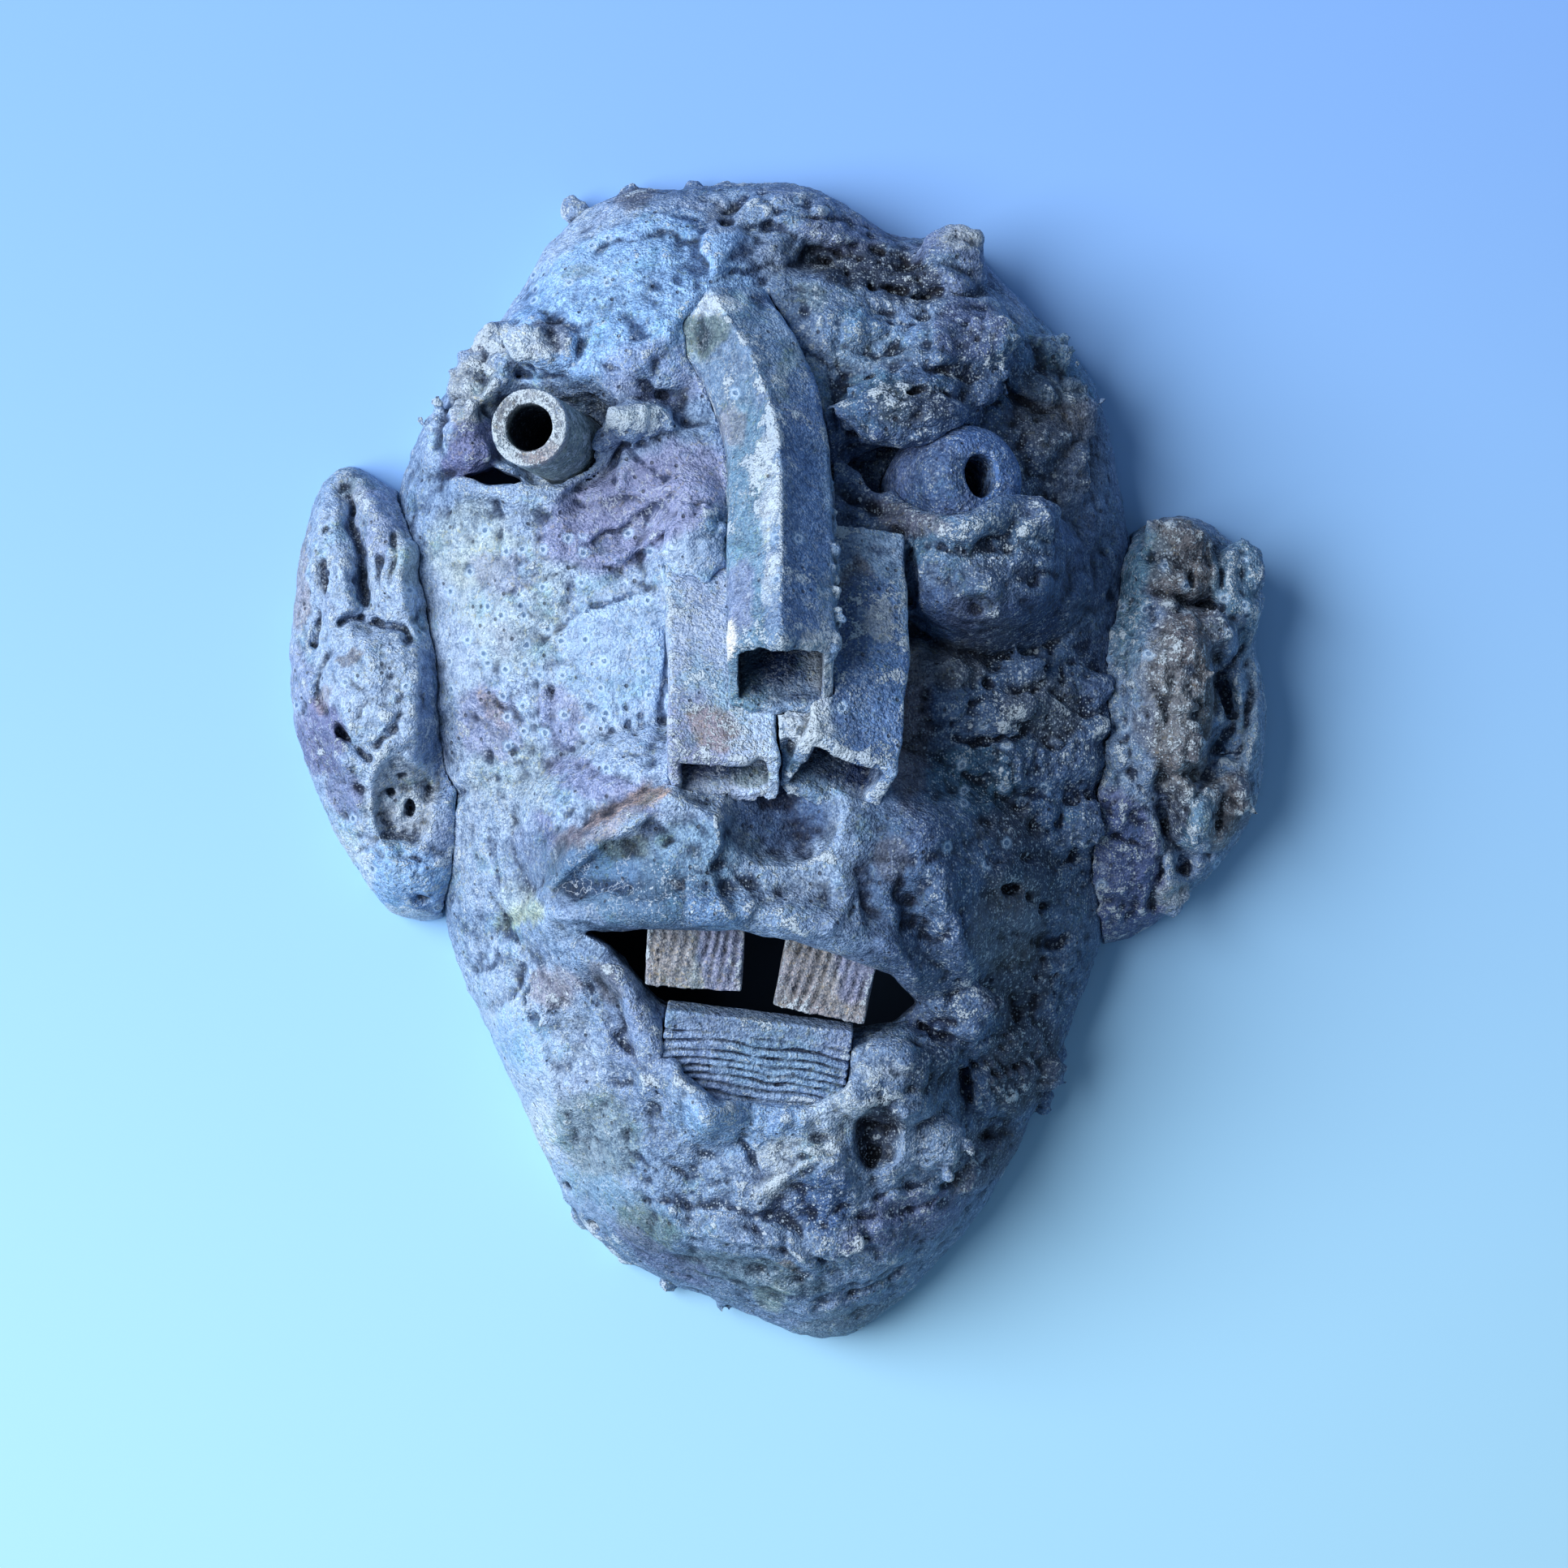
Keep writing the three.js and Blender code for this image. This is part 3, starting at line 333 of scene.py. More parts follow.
# Edges of folded sheets, sharp on the right of the path.
FACE_FOLDS = [
    Roll("flap under the eye", [(-36, 110), (-48, 99), (-55, 92), (-64, 84), (-72, 80)], 3, -3.4),
    Roll("second edge of the flap", [(-28, 86), (-40, 80), (-52, 70), (-62, 66)], 2.6, -3),
    Roll("third edge of the flap", [(-20, 78), (-34, 72), (-46, 62), (-58, 58)], 2.2, -2.2),
    Roll("fold beside the recess", [(-47, 98), (-51, 91), (-50, 84)], 2.2, 3),
    Roll("fold beside the eye", [(-90, 98), (-94, 92), (-102, 88)], 2.4, 3),
    Roll("fold of the brow", [(-64, 122), (-74, 120), (-86, 122), (-96, 114)], 3, 3),
    Roll("fold of the forehead", [(-24, 118), (-36, 116), (-50, 122), (-62, 126)], 3, -2.4),
    Roll("fold on the forehead", [(-20, 164), (-34, 168), (-50, 166), (-64, 160)], 2.6, -2.2),
    Roll("fold on the crown", [(30, 178), (14, 172), (-2, 173), (-16, 167)], 3, -3),
    Roll("fold above the crease", [(50, 158), (34, 163), (16, 166), (4, 160)], 3, -3),
    Roll("fold beside the knob", [(46, 170), (45, 160), (50, 151), (60, 147)], 2.4, -3),
    Roll("fold of the lid", [(20, 116), (30, 120), (44, 121), (58, 126)], 2.6, 3.2),
    Roll("edge of the lid", [(64, 112), (52, 107), (40, 112), (28, 112)], 2.4, 2.6),
    Roll("fold of the right brow", [(72, 144), (70, 132), (74, 120), (84, 112)], 2.6, 3),
    Roll("fold on the right temple", [(88, 140), (86, 126), (92, 112), (98, 96)], 2.6, 2.8),
    Roll("fold on the right forehead", [(24, 142), (36, 136), (50, 138), (62, 134)], 2.6, -2.6),
    Roll("second fold on the right forehead", [(18, 130), (30, 126), (42, 129)], 2.4, -2.2),
    Roll("top edge of the cheek", [(82, 74), (70, 69), (56, 66), (44, 68)], 2.4, -2.4),
    Roll("side of the cheek", [(88, 70), (86, 56), (80, 44), (70, 38)], 2.6, -3),
    Roll("fold on the right cheek", [(50, 8), (62, 4), (76, 8), (90, 2)], 2.8, -3),
    Roll("second fold on the right cheek", [(56, 36), (68, 28), (82, 30), (96, 22)], 2.6, -2.8),
    Roll("third fold on the right cheek", [(46, -12), (58, -8), (72, -16), (86, -12)], 2.8, -3),
    Roll("fourth fold on the right cheek", [(62, -34), (74, -30), (88, -36), (100, -30)], 2.6, -2.8),
    Roll("fold above the right jaw", [(64, -58), (76, -54), (88, -60), (96, -56)], 2.6, -2.8),
    Roll("fold on the right jaw", [(56, -92), (68, -100), (80, -98), (90, -104)], 2.6, -3),
    Roll("second fold on the right jaw", [(52, -128), (64, -120), (76, -122)], 2.4, -2.8),
    Roll("edge of the upper lip", [(-78, -45), (-66, -36), (-50, -24), (-32, -13)], 2.6, 2.6),
    Roll("fold across the lip", [(-68, -46), (-52, -40), (-36, -42), (-22, -38)], 2.4, -1.8),
    Roll("bulge of the lip", [(16, -56), (22, -44), (20, -32)], 2.6, 2.4),
    Roll("furrow of the lip", [(44, -74), (38, -58), (34, -42), (38, -28)], 3, 2.8),
    Roll("edge of the right lip", [(66, -84), (60, -66), (54, -48), (50, -30)], 3, 3),
    Roll("crease under the lip's end", [(76, -86), (62, -88), (50, -86), (42, -80)], 2.6, -4),
    Roll("fold of the left roll", [(-36, -108), (-48, -92), (-58, -76), (-68, -64)], 2.6, 2.6),
    Roll("fold on the left jaw", [(-96, -84), (-84, -74), (-78, -60)], 2.6, -2.4),
    Roll("ledge of the chin", [(24, -122), (8, -124), (-4, -132), (-12, -142)], 2.6, 2.8),
    Roll("fold of the chin", [(-36, -146), (-16, -150), (2, -152), (14, -160)], 2.6, 3),
    Roll("second fold of the chin", [(-30, -162), (-12, -164), (4, -170)], 2.4, 2.4),
    Roll("third fold of the chin", [(12, -140), (28, -144), (46, -140), (60, -132)], 2.6, -2.6),
    Roll("fold below the chin", [(8, -176), (24, -172), (40, -164), (50, -152)], 2.6, -2.6),
    Roll("edge below the mouth", [(58, -110), (46, -108), (36, -110)], 2.4, 2.6),
]
# Prints of corrugated card pressed into the clay: the middle, the size, the direction across the ribs.
CARD_PRINTS = [((72, -99), (15, 13), 35), ((-30, -168), (12, 6), 70)]
PRINT_DEPTH = 1.1


def smooth(t):
    t = np.clip(t, 0, 1)
    return t * t * (3 - 2 * t)


def closed_curve(points, steps=12):
    """A smooth closed curve through the points."""
    at = np.array(points, float)[:, None]
    before, after, beyond = np.roll(at, 1, 0), np.roll(at, -1, 0), np.roll(at, -2, 0)
    t = (np.arange(steps) / steps)[None, :, None]
    bend = 2 * before - 5 * at + 4 * after - beyond
    twist = 3 * at - before - 3 * after + beyond
    return (0.5 * (2 * at + (after - before) * t + bend * t ** 2 + twist * t ** 3)).reshape(-1, 2)


def open_curve(points, steps=14):
    """A smooth open curve through points in space, even in how it turns near close points."""
    at = np.array(points, float)
    at = np.vstack([2 * at[0] - at[1], at, 2 * at[-1] - at[-2]])
    gaps = np.sqrt(np.linalg.norm(np.diff(at, axis=0), axis=1))
    curve = []
    for i in range(1, len(at) - 2):
        a, b, c, d = at[i - 1:i + 3]
        g0, g1, g2 = gaps[i - 1:i + 2]
        start = ((b - a) / g0 - (c - a) / (g0 + g1) + (c - b) / g1) * g1
        end = ((c - b) / g1 - (d - b) / (g1 + g2) + (d - c) / g2) * g1
        for t in np.arange(steps) / steps:
            curve.append(b + start * t + (3 * (c - b) - 2 * start - end) * t ** 2
                         + (2 * (b - c) + start + end) * t ** 3)
    curve.append(at[-2])
    return np.array(curve)


class Outline:
    """The plan of a piece around its centre."""

    def __init__(self, points, centre):
        self.centre = centre
        offset = closed_curve(points) - centre
        angles = np.arctan2(offset[:, 1], offset[:, 0])
        order = np.argsort(angles)
        self.angles = angles[order]
        self.reaches = np.hypot(offset[:, 0], offset[:, 1])[order]

    def reach(self, x, y):
        return np.interp(np.arctan2(y - self.centre[1], x - self.centre[0]), self.angles, self.reaches,
                         period=2 * math.pi)

    def share(self, x, y, inset=0):
        return np.hypot(x - self.centre[0], y - self.centre[1]) / (self.reach(x, y) - inset)

    def edge(self, x, y, inset=0):
        """Rough distance to the outline, negative inside."""
        reach = self.reach(x, y) - inset
        return 0.9 * (np.hypot(x - self.centre[0], y - self.centre[1]) - reach)


def corner_value(ix, iy, iz, seed):
    """A fixed value from 0 to 1 for each corner of a lattice."""
    mixed = (ix * 374761393 + iy * 668265263 + iz * 1440662683 + seed * 974634777) & 0xFFFFFFFF
    mixed = ((mixed ^ (mixed >> 13)) * 1274126177) & 0xFFFFFFFF
    return ((mixed ^ (mixed >> 16)) & 0xFFFF) / 65535


def noise(x, y, z, cell, seed):
    """Smooth noise from -1 to 1 with cells of the given size."""
    starts, eases = [], []
    for value in (x, y, z):
        scaled = np.asarray(value, float) / cell
        start = np.floor(scaled)
        part = scaled - start
        starts.append(start.astype(np.int64))
        eases.append(part * part * (3 - 2 * part))
    total = 0
    for dx in (0, 1):
        for dy in (0, 1):
            for dz in (0, 1):
                share = 1
                for ease, side in zip(eases, (dx, dy, dz)):
                    share = share * (ease if side else 1 - ease)
                total = total + share * corner_value(starts[0] + dx, starts[1] + dy, starts[2] + dz, seed)
    return 2 * total - 1


def layered_noise(x, y, z, cell, seed, layers=3):
    total = 0
    for layer in range(layers):
        total = total + noise(x, y, z, cell / 2 ** layer, seed + layer) / 2 ** layer
    return total / 1.6


def pock_marks(x, y, z, cell, seed):
    """Distance to the nearest of many scattered points, as a share of the cell, and its own value."""
    scaled = [np.asarray(value, float) / cell for value in (x, y, z)]
    starts = [np.floor(value).astype(np.int64) for value in scaled]
    nearest = np.full(scaled[0].shape, 9.0)
    own = np.zeros(scaled[0].shape)
    for dx in (-1, 0, 1):
        for dy in (-1, 0, 1):
            for dz in (-1, 0, 1):
                corner = [start + step for start, step in zip(starts, (dx, dy, dz))]
                away = 0
                for axis in range(3):
                    spot = corner[axis] + corner_value(*corner, seed + 11 * axis)
                    away = away + (spot - scaled[axis]) ** 2
                closer = away < nearest
                nearest = np.where(closer, away, nearest)
                own = np.where(closer, corner_value(*corner, seed + 57), own)
    return np.sqrt(nearest), own


def turned(along, across, turn):
    """Two distances at right angles, seen from axes that are turned by some degrees."""
    cos, sin = math.cos(math.radians(turn)), math.sin(math.radians(turn))
    return along * cos + across * sin, across * cos - along * sin


def blob_share(at, size, turn, x, y):
    """1 in the middle of a turned ellipse and 0 from its edge on."""
    along, across = turned(x - at[0], y - at[1], turn)
    inner = np.maximum(0, 1 - (along / size[0]) ** 2 - (across / size[1]) ** 2)
    return inner * (2 - inner)


def path_distance(path, x, y):
    nearest = np.full(np.broadcast(x, y).shape, 1e9)
    for (ax, ay), (bx, by) in zip(path, path[1:]):
        ex, ey = bx - ax, by - ay
        t = np.clip(((x - ax) * ex + (y - ay) * ey) / (ex * ex + ey * ey), 0, 1)
        nearest = np.minimum(nearest, (x - ax - ex * t) ** 2 + (y - ay - ey * t) ** 2)
    return np.sqrt(nearest)


def outline_distance(corners, x, y):
    """Distance to a closed outline, negative inside."""
    away = path_distance(list(corners) + [corners[0]], x, y)
    inside = np.zeros(away.shape, bool)
    for (ax, ay), (bx, by) in zip(corners, list(corners[1:]) + [corners[0]]):
        if ay != by:
            inside ^= ((ay > y) != (by > y)) & (x < (bx - ax) * (y - ay) / (by - ay) + ax)
    return np.where(inside, -away, away)


def lump_height(lump, x, y):
    return lump.high * blob_share(lump.at, lump.size, lump.turn, x, y)


def follow(path, x, y):
    """Distance from a path, positive on its left, and 0 at its ends to 1 in its middle."""
    nearest = np.full(np.broadcast(x, y).shape, 1e9)
    side, run = np.zeros(nearest.shape), np.zeros(nearest.shape)
    start = 0
    for (ax, ay), (bx, by) in zip(path, path[1:]):
        ex, ey = bx - ax, by - ay
        length = math.hypot(ex, ey)
        t = np.clip(((x - ax) * ex + (y - ay) * ey) / length ** 2, 0, 1)
        away = (x - ax - ex * t) ** 2 + (y - ay - ey * t) ** 2
        closer = away < nearest
        nearest = np.where(closer, away, nearest)
        side = np.where(closer, np.sign(ex * (y - ay) - ey * (x - ax)), side)
        run = np.where(closer, start + t * length, run)
        start += length
    return side * np.sqrt(nearest), 2 * np.minimum(run, start - run) / start


def roll_height(roll, x, y):
    return roll.high * smooth(1 - path_distance(roll.path, x, y) / roll.width)


def mark_height(mark, x, y):
    """A line drawn in the clay, which fades at its ends."""
    away, middle = follow(mark.path, x, y)
    return mark.high * smooth(1 - np.abs(away) / mark.width) * smooth(2.5 * middle)


def fold_height(fold, x, y):
    """The edge of a sheet of clay, sharp on the right of its path and sinking slowly on the left."""
    away, middle = follow(fold.path, x, y)
    slow = smooth(1 - away / (3.2 * fold.width))
    sharp = smooth(1 + away / (0.45 * fold.width))
    return fold.high * np.where(away > 0, slow, sharp) * smooth(2.5 * middle)


def plate_height(plate, x, y):
    return plate.high * smooth(0.5 - outline_distance(plate.outline, x, y) / plate.edge)


def print_height(card_print, x, y):
    """The ribs that pressed card leaves."""
    at, size, turn = card_print
    across, _ = turned(x, y, turn)
    return PRINT_DEPTH * np.sin(2 * math.pi * across / RIB_PITCH) * blob_share(at, size, 0, x, y)


def dome(share, low, high):
    return low + (high - low) * np.maximum(0, 1 - share ** DOME_FLATNESS) ** DOME_ROUNDNESS


def hand_waves(x, y):
    return HAND_WAVES * (np.sin(x / 8.3 + 1.7 * np.sin(y / 14)) + np.sin(y / 9.1 + 1.4 * np.sin(x / 12)))


face_outline = Outline(FACE_OUTLINE, FACE_CENTRE)
LEFT_EAR = Ear((-165, -58, -2.5), (-90, 102, 66), Outline(LEFT_EAR_OUTLINE, LEFT_EAR_CENTRE), LEFT_EAR_LUMPS,
               LEFT_EAR_ROLLS, LEFT_EAR_MARKS, LEFT_EAR_HOLES, [], 1.2, 71)
RIGHT_EAR = Ear((86, -66, -2.5), (165, 86, 72), Outline(RIGHT_EAR_OUTLINE, RIGHT_EAR_CENTRE), RIGHT_EAR_LUMPS,
                RIGHT_EAR_ROLLS, RIGHT_EAR_MARKS, RIGHT_EAR_HOLES, RIGHT_EAR_BITS, 1.8, 81)


def wander(x, y, reach, cell, seed):
    """The same place, moved a little, so that straight marks become hand-made ones."""
    aside, up = (layered_noise(x, y, 0, cell, number, 2) for number in (seed, seed + 5))
    return x + reach * aside, y + reach * up


def crumple(x, y, cell, seed):
    """Kneaded clay: rounded swellings with sharp creases between them, from about -1 to 1."""
    near_x, near_y = wander(x, y, 0.35 * cell, 0.8 * cell, seed)
    total = 0
    for layer, share in enumerate((1, 0.6, 0.4)):
        total = total + share * np.abs(noise(near_x, near_y, 0, cell / 2 ** layer, seed + layer))
    return 2 * total - 1


def spread(zones, x, y):
    """The strongest of the zones at each place."""
    most = np.zeros(np.shape(x))
    for zone in zones:
        most = np.maximum(most, zone.strength * blob_share(zone.at, zone.size, zone.turn, x, y))
    return most


def face_height(x, y):
    share = face_outline.share(x, y)
    added = sum(lump_height(lump, x, y) for lump in FACE_LUMPS)
    added = added + sum(roll_height(roll, x, y) for roll in FACE_ROLLS)
    near_x, near_y = wander(x, y, FACE_STRAYING, 9, 3)
    added = added + PLATE_LIFT * sum(plate_height(plate, near_x, near_y) for plate in FACE_PLATES)
    marks = sum(mark_height(mark, near_x, near_y) for mark in FACE_MARKS)
    added = added + MARK_LIFT * marks * (1 + 0.5 * noise(x, y, 0, 9, 29))
    added = added + sum(fold_height(fold, near_x, near_y) for fold in FACE_FOLDS)
    added = added + sum(print_height(card_print, x, y) for card_print in CARD_PRINTS)
    kneaded = EVEN_KNEADING + CRUMBLY_KNEADING * spread(FACE_CRUMBS, x, y)
    kneaded = kneaded * (1 - 0.75 * spread(FACE_SMOOTH, x, y))
    added = added + kneaded * crumple(x, y, 17, 61)
    added = added + hand_waves(x, y) - 1.2
    height = dome(share, RIM_HEIGHT, DOME_HEIGHT) + added * smooth((1.02 - share) / 0.12)
    return np.maximum(height, hollow_height(x, y) + LINING + 1)


def hollow_height(x, y):
    share = face_outline.share(x, y, RIM_WIDTH)
    added = sum(lump_height(dent, x, y) for dent in HOLLOW_DENTS)
    for lump in FACE_LUMPS:
        if lump.size[0] > WIDE_LUMP:
            height = lump_height(lump, x, y)
            added = added + np.minimum(height, INSIDE_SHARE * height)
    inside = dome(share, 0, DOME_HEIGHT - FACE_WALL) + added * smooth((1 - share) / 0.2) - INSIDE_DROP
    return np.where(share < 1, inside, -INSIDE_DROP - 40 * (share - 1))


def ear_height(ear, x, y):
    share = ear.outline.share(x, y)
    added = sum(lump_height(lump, x, y) for lump in ear.lumps)
    added = added + sum(roll_height(roll, x, y) for roll in ear.rolls) + 0.6 * hand_waves(x, y)
    near_x, near_y = wander(x, y, EAR_STRAYING, 7, 23)
    marks = sum(mark_height(mark, near_x, near_y) for mark in ear.marks) * (1 + 0.5 * noise(x, y, 0, 9, 29))
    marks = marks + ear.kneading * crumple(x, y, 13, ear.seed)
    return dome(share, EAR_RIM, EAR_HEIGHT) + (added + marks) * smooth((1.05 - share) / 0.2)


def least(a, b, blend):
    """The smaller of two distances, rounded where they cross."""
    near = np.maximum(blend - np.abs(a - b), 0) / blend
    return np.minimum(a, b) - near * near * blend / 4


def blob(at, size, turn=0, kneaded=0.4):
    """A lump of clay: an ellipsoid turned about the vertical, with dents and folds in its sides."""
    reach = max(size) + 1.5
    cell = 1.1 * min(size)

    def distance(x, y, z):
        along, across = turned(x - at[0], y - at[1], turn)
        dz = z - at[2]
        folds = np.abs(noise(x, y, z, cell, 41)) + 0.5 * np.abs(noise(x, y, z, cell / 2, 42)) - 0.5
        bend = 1 - kneaded * folds
        k = np.sqrt((along / size[0]) ** 2 + (across / size[1]) ** 2 + (dz / size[2]) ** 2) * bend
        slope = np.sqrt((along / size[0] ** 2) ** 2 + (across / size[1] ** 2) ** 2 + (dz / size[2] ** 2) ** 2)
        return k * (k - 1) / np.maximum(slope, 1e-3)

    return Shape([c - reach for c in at], [c + reach for c in at], distance)


def coil(path, radius):
    """A rolled coil of clay along points in space."""
    curve = open_curve(path, 4)

    def distance(x, y, z):
        nearest = np.full(np.broadcast(x, y, z).shape, 1e9, np.float32)
        for a, b in zip(curve, curve[1:]):
            e = b - a
            t = np.clip(((x - a[0]) * e[0] + (y - a[1]) * e[1] + (z - a[2]) * e[2]) / e.dot(e), 0, 1)
            away = (x - a[0] - e[0] * t) ** 2 + (y - a[1] - e[1] * t) ** 2 + (z - a[2] - e[2] * t) ** 2
            nearest = np.minimum(nearest, away)
        return np.sqrt(nearest) - radius

    return Shape(curve.min(0) - radius, curve.max(0) + radius, distance)


def pillar(corners, bottom, top):
    """An upright hole with the plan of the corners."""
    plan = np.array(corners, float)

    def distance(x, y, z):
        return np.maximum(outline_distance(corners, x[:, :, 0], y[:, :, 0])[:, :, None] + 0 * z,
                          np.maximum(bottom - z, z - top))

    return Shape([*plan.min(0), bottom], [*plan.max(0), top], distance)


def flat_section(width, depth, roll):
    """A rectangle turned about the middle of the tube."""
    def section(a, b, less, corner):
        across, up = turned(a, b, roll)
        across = np.abs(across) - (width / 2 - less - corner)
        up = np.abs(up) - (depth / 2 - less - corner)
        outer = np.sqrt(np.maximum(across, 0) ** 2 + np.maximum(up, 0) ** 2)
        return outer + np.minimum(np.maximum(across, up), 0) - corner

    return section


def house_section(a, b, less, corner):
    """Upright sides and a flat floor under a ridged roof."""
    pitch = (BRIDGE_RIDGE - BRIDGE_EAVES) / (BRIDGE_WIDTH / 2)
    side = np.abs(a) - BRIDGE_WIDTH / 2 + less
    floor = -b - BRIDGE_FLOOR + less
    roof = (b + pitch * np.abs(a) - BRIDGE_RIDGE) / math.hypot(1, pitch) + less
    return np.maximum(floor, -least(-side, -roof, corner))


class Tube:
    """A clay tube along a curve, with a slanted open end and a closed upper end."""

    def __init__(self, section, reach, path, heel, slant, wall, closed_share, merging=0.0):
        self.section = section
        self.heel = heel
        self.merging = merging
        self.slant = slant
        self.wall = wall
        curve = open_curve(path)
        tangents = np.gradient(curve, axis=0)
        tangents /= np.linalg.norm(tangents, axis=1)[:, None]
        run = np.concatenate([[0], np.cumsum(np.linalg.norm(np.diff(curve, axis=0), axis=1))])
        beyond = 60
        self.length = run[-1]
        self.closed = closed_share * self.length
        self.run = np.concatenate([[-beyond], run, [run[-1] + beyond]])
        self.curve = np.vstack([curve[0] - beyond * tangents[0], curve, curve[-1] + beyond * tangents[-1]])
        self.tangents = np.vstack([tangents[0], tangents, tangents[-1]])
        self.heading = (curve[-1] - curve[0]) / np.linalg.norm(curve[-1] - curve[0])
        self.low = curve.min(0) - reach
        self.high = curve.max(0) + reach

    def middle(self, run):
        """The middle of the tube and its direction, at each run along it."""
        at = [np.interp(run, self.run, self.curve[:, i]) for i in range(3)]
        along = [np.interp(run, self.run, self.tangents[:, i]) for i in range(3)]
        return at, along

    def place(self, x, y, z):
        """Run along the tube, and the two distances across it, to the side and up."""
        x, y, z = np.broadcast_arrays(x, y, z)
        marks = self.curve @ self.heading
        run = np.interp(x * self.heading[0] + y * self.heading[1] + z * self.heading[2], marks, self.run)
        for _ in range(2):
            at, along = self.middle(run)
            run = run + (x - at[0]) * along[0] + (y - at[1]) * along[1] + (z - at[2]) * along[2]
        at, along = self.middle(run)
        flat = np.hypot(along[0], along[1])
        side = (-along[1] / flat, along[0] / flat)
        a = (x - at[0]) * side[0] + (y - at[1]) * side[1]
        up = (-along[2] * side[1], along[2] * side[0], along[0] * side[1] - along[1] * side[0])
        b = (x - at[0]) * up[0] + (y - at[1]) * up[1] + (z - at[2]) * up[2]
        deep = self.heel + (1 - self.heel) * np.clip(run / self.length, 0, 1)
        return run, a, np.where(b < 0, b / deep, b)

    def end(self, a, b):
        base, up, side, most = self.slant
        return self.length + np.minimum(most, base + up * b + side * np.abs(a))

    def distance(self, x, y, z, grow=0.0):
        run, a, b = self.place(x, y, z)
        past = 2 * grow if grow else 0
        torn = TORN_ENDS * layered_noise(x, y, z, 5, 83)
        start = self.merging * (b + 6) - run
        ends = np.maximum(run - self.end(a, b) + torn - past, start - past)
        return np.maximum(self.section(a, b, 0, 1.8) - grow, ends)

    def bore(self, x, y, z):
        run, a, b = self.place(x, y, z)
        return np.maximum(self.section(a, b, self.wall, 1.2), self.closed - run)

    def shape(self, grow=0.0):
        return Shape(self.low, self.high, lambda x, y, z: self.distance(x, y, z, grow))


TORN_ENDS = 1.6
# The open end: how far it reaches in the middle, what it gains upwards and sideways, and its most.
BRIDGE_SLANT = (2, -0.13, -0.53, 0.5)
BRIDGE = Tube(house_section, 30, [(-18, 141, 63), (-7, 121, 75), (-0.5, 99, 87), (1, 66, 108), (1, 27, 132)],
              0.8, BRIDGE_SLANT, BRIDGE_WALL, 0.12)
NOSTRIL_SLANT = (0, -0.4, 0, 5)
LEFT_NOSTRIL_PATH = [(-18, 62, 75), (-17, 34, 90), (-16.5, 8, 103), (-16, -6, 109)]
RIGHT_NOSTRIL_PATH = [(22, 66, 77), (22.5, 38, 91), (21, 10, 103), (18, -6, 109)]
LEFT_NOSTRIL = Tube(flat_section(33, 18, 0), 22, LEFT_NOSTRIL_PATH,
                    1, NOSTRIL_SLANT, NOSTRIL_WALL, 0.35, merging=0.3)
RIGHT_NOSTRIL = Tube(flat_section(30, 25, -14), 23, RIGHT_NOSTRIL_PATH,
                     1, NOSTRIL_SLANT, NOSTRIL_WALL, 0.2)


def axis_place(foot, axis, x, y, z):
    """Run along an axis and distance from it."""
    axis = np.array(axis) / np.linalg.norm(axis)
    dx, dy, dz = x - foot[0], y - foot[1], z - foot[2]
    run = dx * axis[0] + dy * axis[1] + dz * axis[2]
    return run, np.sqrt(np.maximum(dx ** 2 + dy ** 2 + dz ** 2 - run ** 2, 0))


EYE_TUBE_FOOT = (-64.3, 98.3, 41)
EYE_TUBE_AXIS = (-0.23, 0.07, 0.97)
EYE_TUBE_RADIUS = 12
EYE_TUBE_BORE = 7.4
EYE_TUBE_LENGTH = 52
EYE_CONE_FOOT = (48.8, 84, 45.8)
EYE_CONE_AXIS = (0.36, 0.1, 0.93)
EYE_CONE_PROFILE = [(15, -7.5), (19, 8), (19.5, 20), (16.5, 33), (12.5, 40)]
EYE_CONE_BORE = 5.6


def eye_tube(radius, start, end):
    def distance(x, y, z):
        run, away = axis_place(EYE_TUBE_FOOT, EYE_TUBE_AXIS, x, y, z)
        return np.maximum(away - radius, np.maximum(start - run, run - end))

    return Shape((-95, 80, 0), (-45, 120, 120), distance)


def eye_cone(grow=0.0):
    def distance(x, y, z):
        run, away = axis_place(EYE_CONE_FOOT, EYE_CONE_AXIS, x, y, z)
        radii = [radius for radius, _ in EYE_CONE_PROFILE]
        runs = [along for _, along in EYE_CONE_PROFILE]
        side = 0.93 * (away - np.interp(run, runs, radii))
        ends = np.maximum(runs[0] - run, run - runs[-1])
        return -least(-side, -ends, 3) - grow

    return Shape((22, 60, 30), (82, 112, 92), distance)


def eye_cone_bore():
    def distance(x, y, z):
        run, away = axis_place(EYE_CONE_FOOT, EYE_CONE_AXIS, x, y, z)
        middle = EYE_CONE_FOOT[1] + run * EYE_CONE_AXIS[1]
        upright = ((y - middle) / np.maximum(away, 1)) ** 2
        return away - EYE_CONE_BORE - 1.5 * np.clip(upright, 0, 1) * smooth((run - 15) / 20) + 0.4

    return Shape((20, 60, 0), (85, 112, 100), distance)


def turned_place(at, tilt, turn, x, y, z):
    """The place seen from a slab that was tilted about X and then turned about Z."""
    across, along = turned(x - at[0], y - at[1], turn)
    return across, *turned(along, z - at[2], tilt)


def brick(across, along, up, low, high, corner):
    """Distance to a block with rounded edges."""
    outer, most = 0, -1e9
    for value, start, end in zip((across, along, up), low, high):
        away = np.abs(value - (start + end) / 2) - ((end - start) / 2 - corner)
        outer = outer + np.maximum(away, 0) ** 2
        most = np.maximum(most, away)
    return np.sqrt(outer) + np.minimum(most, 0) - corner


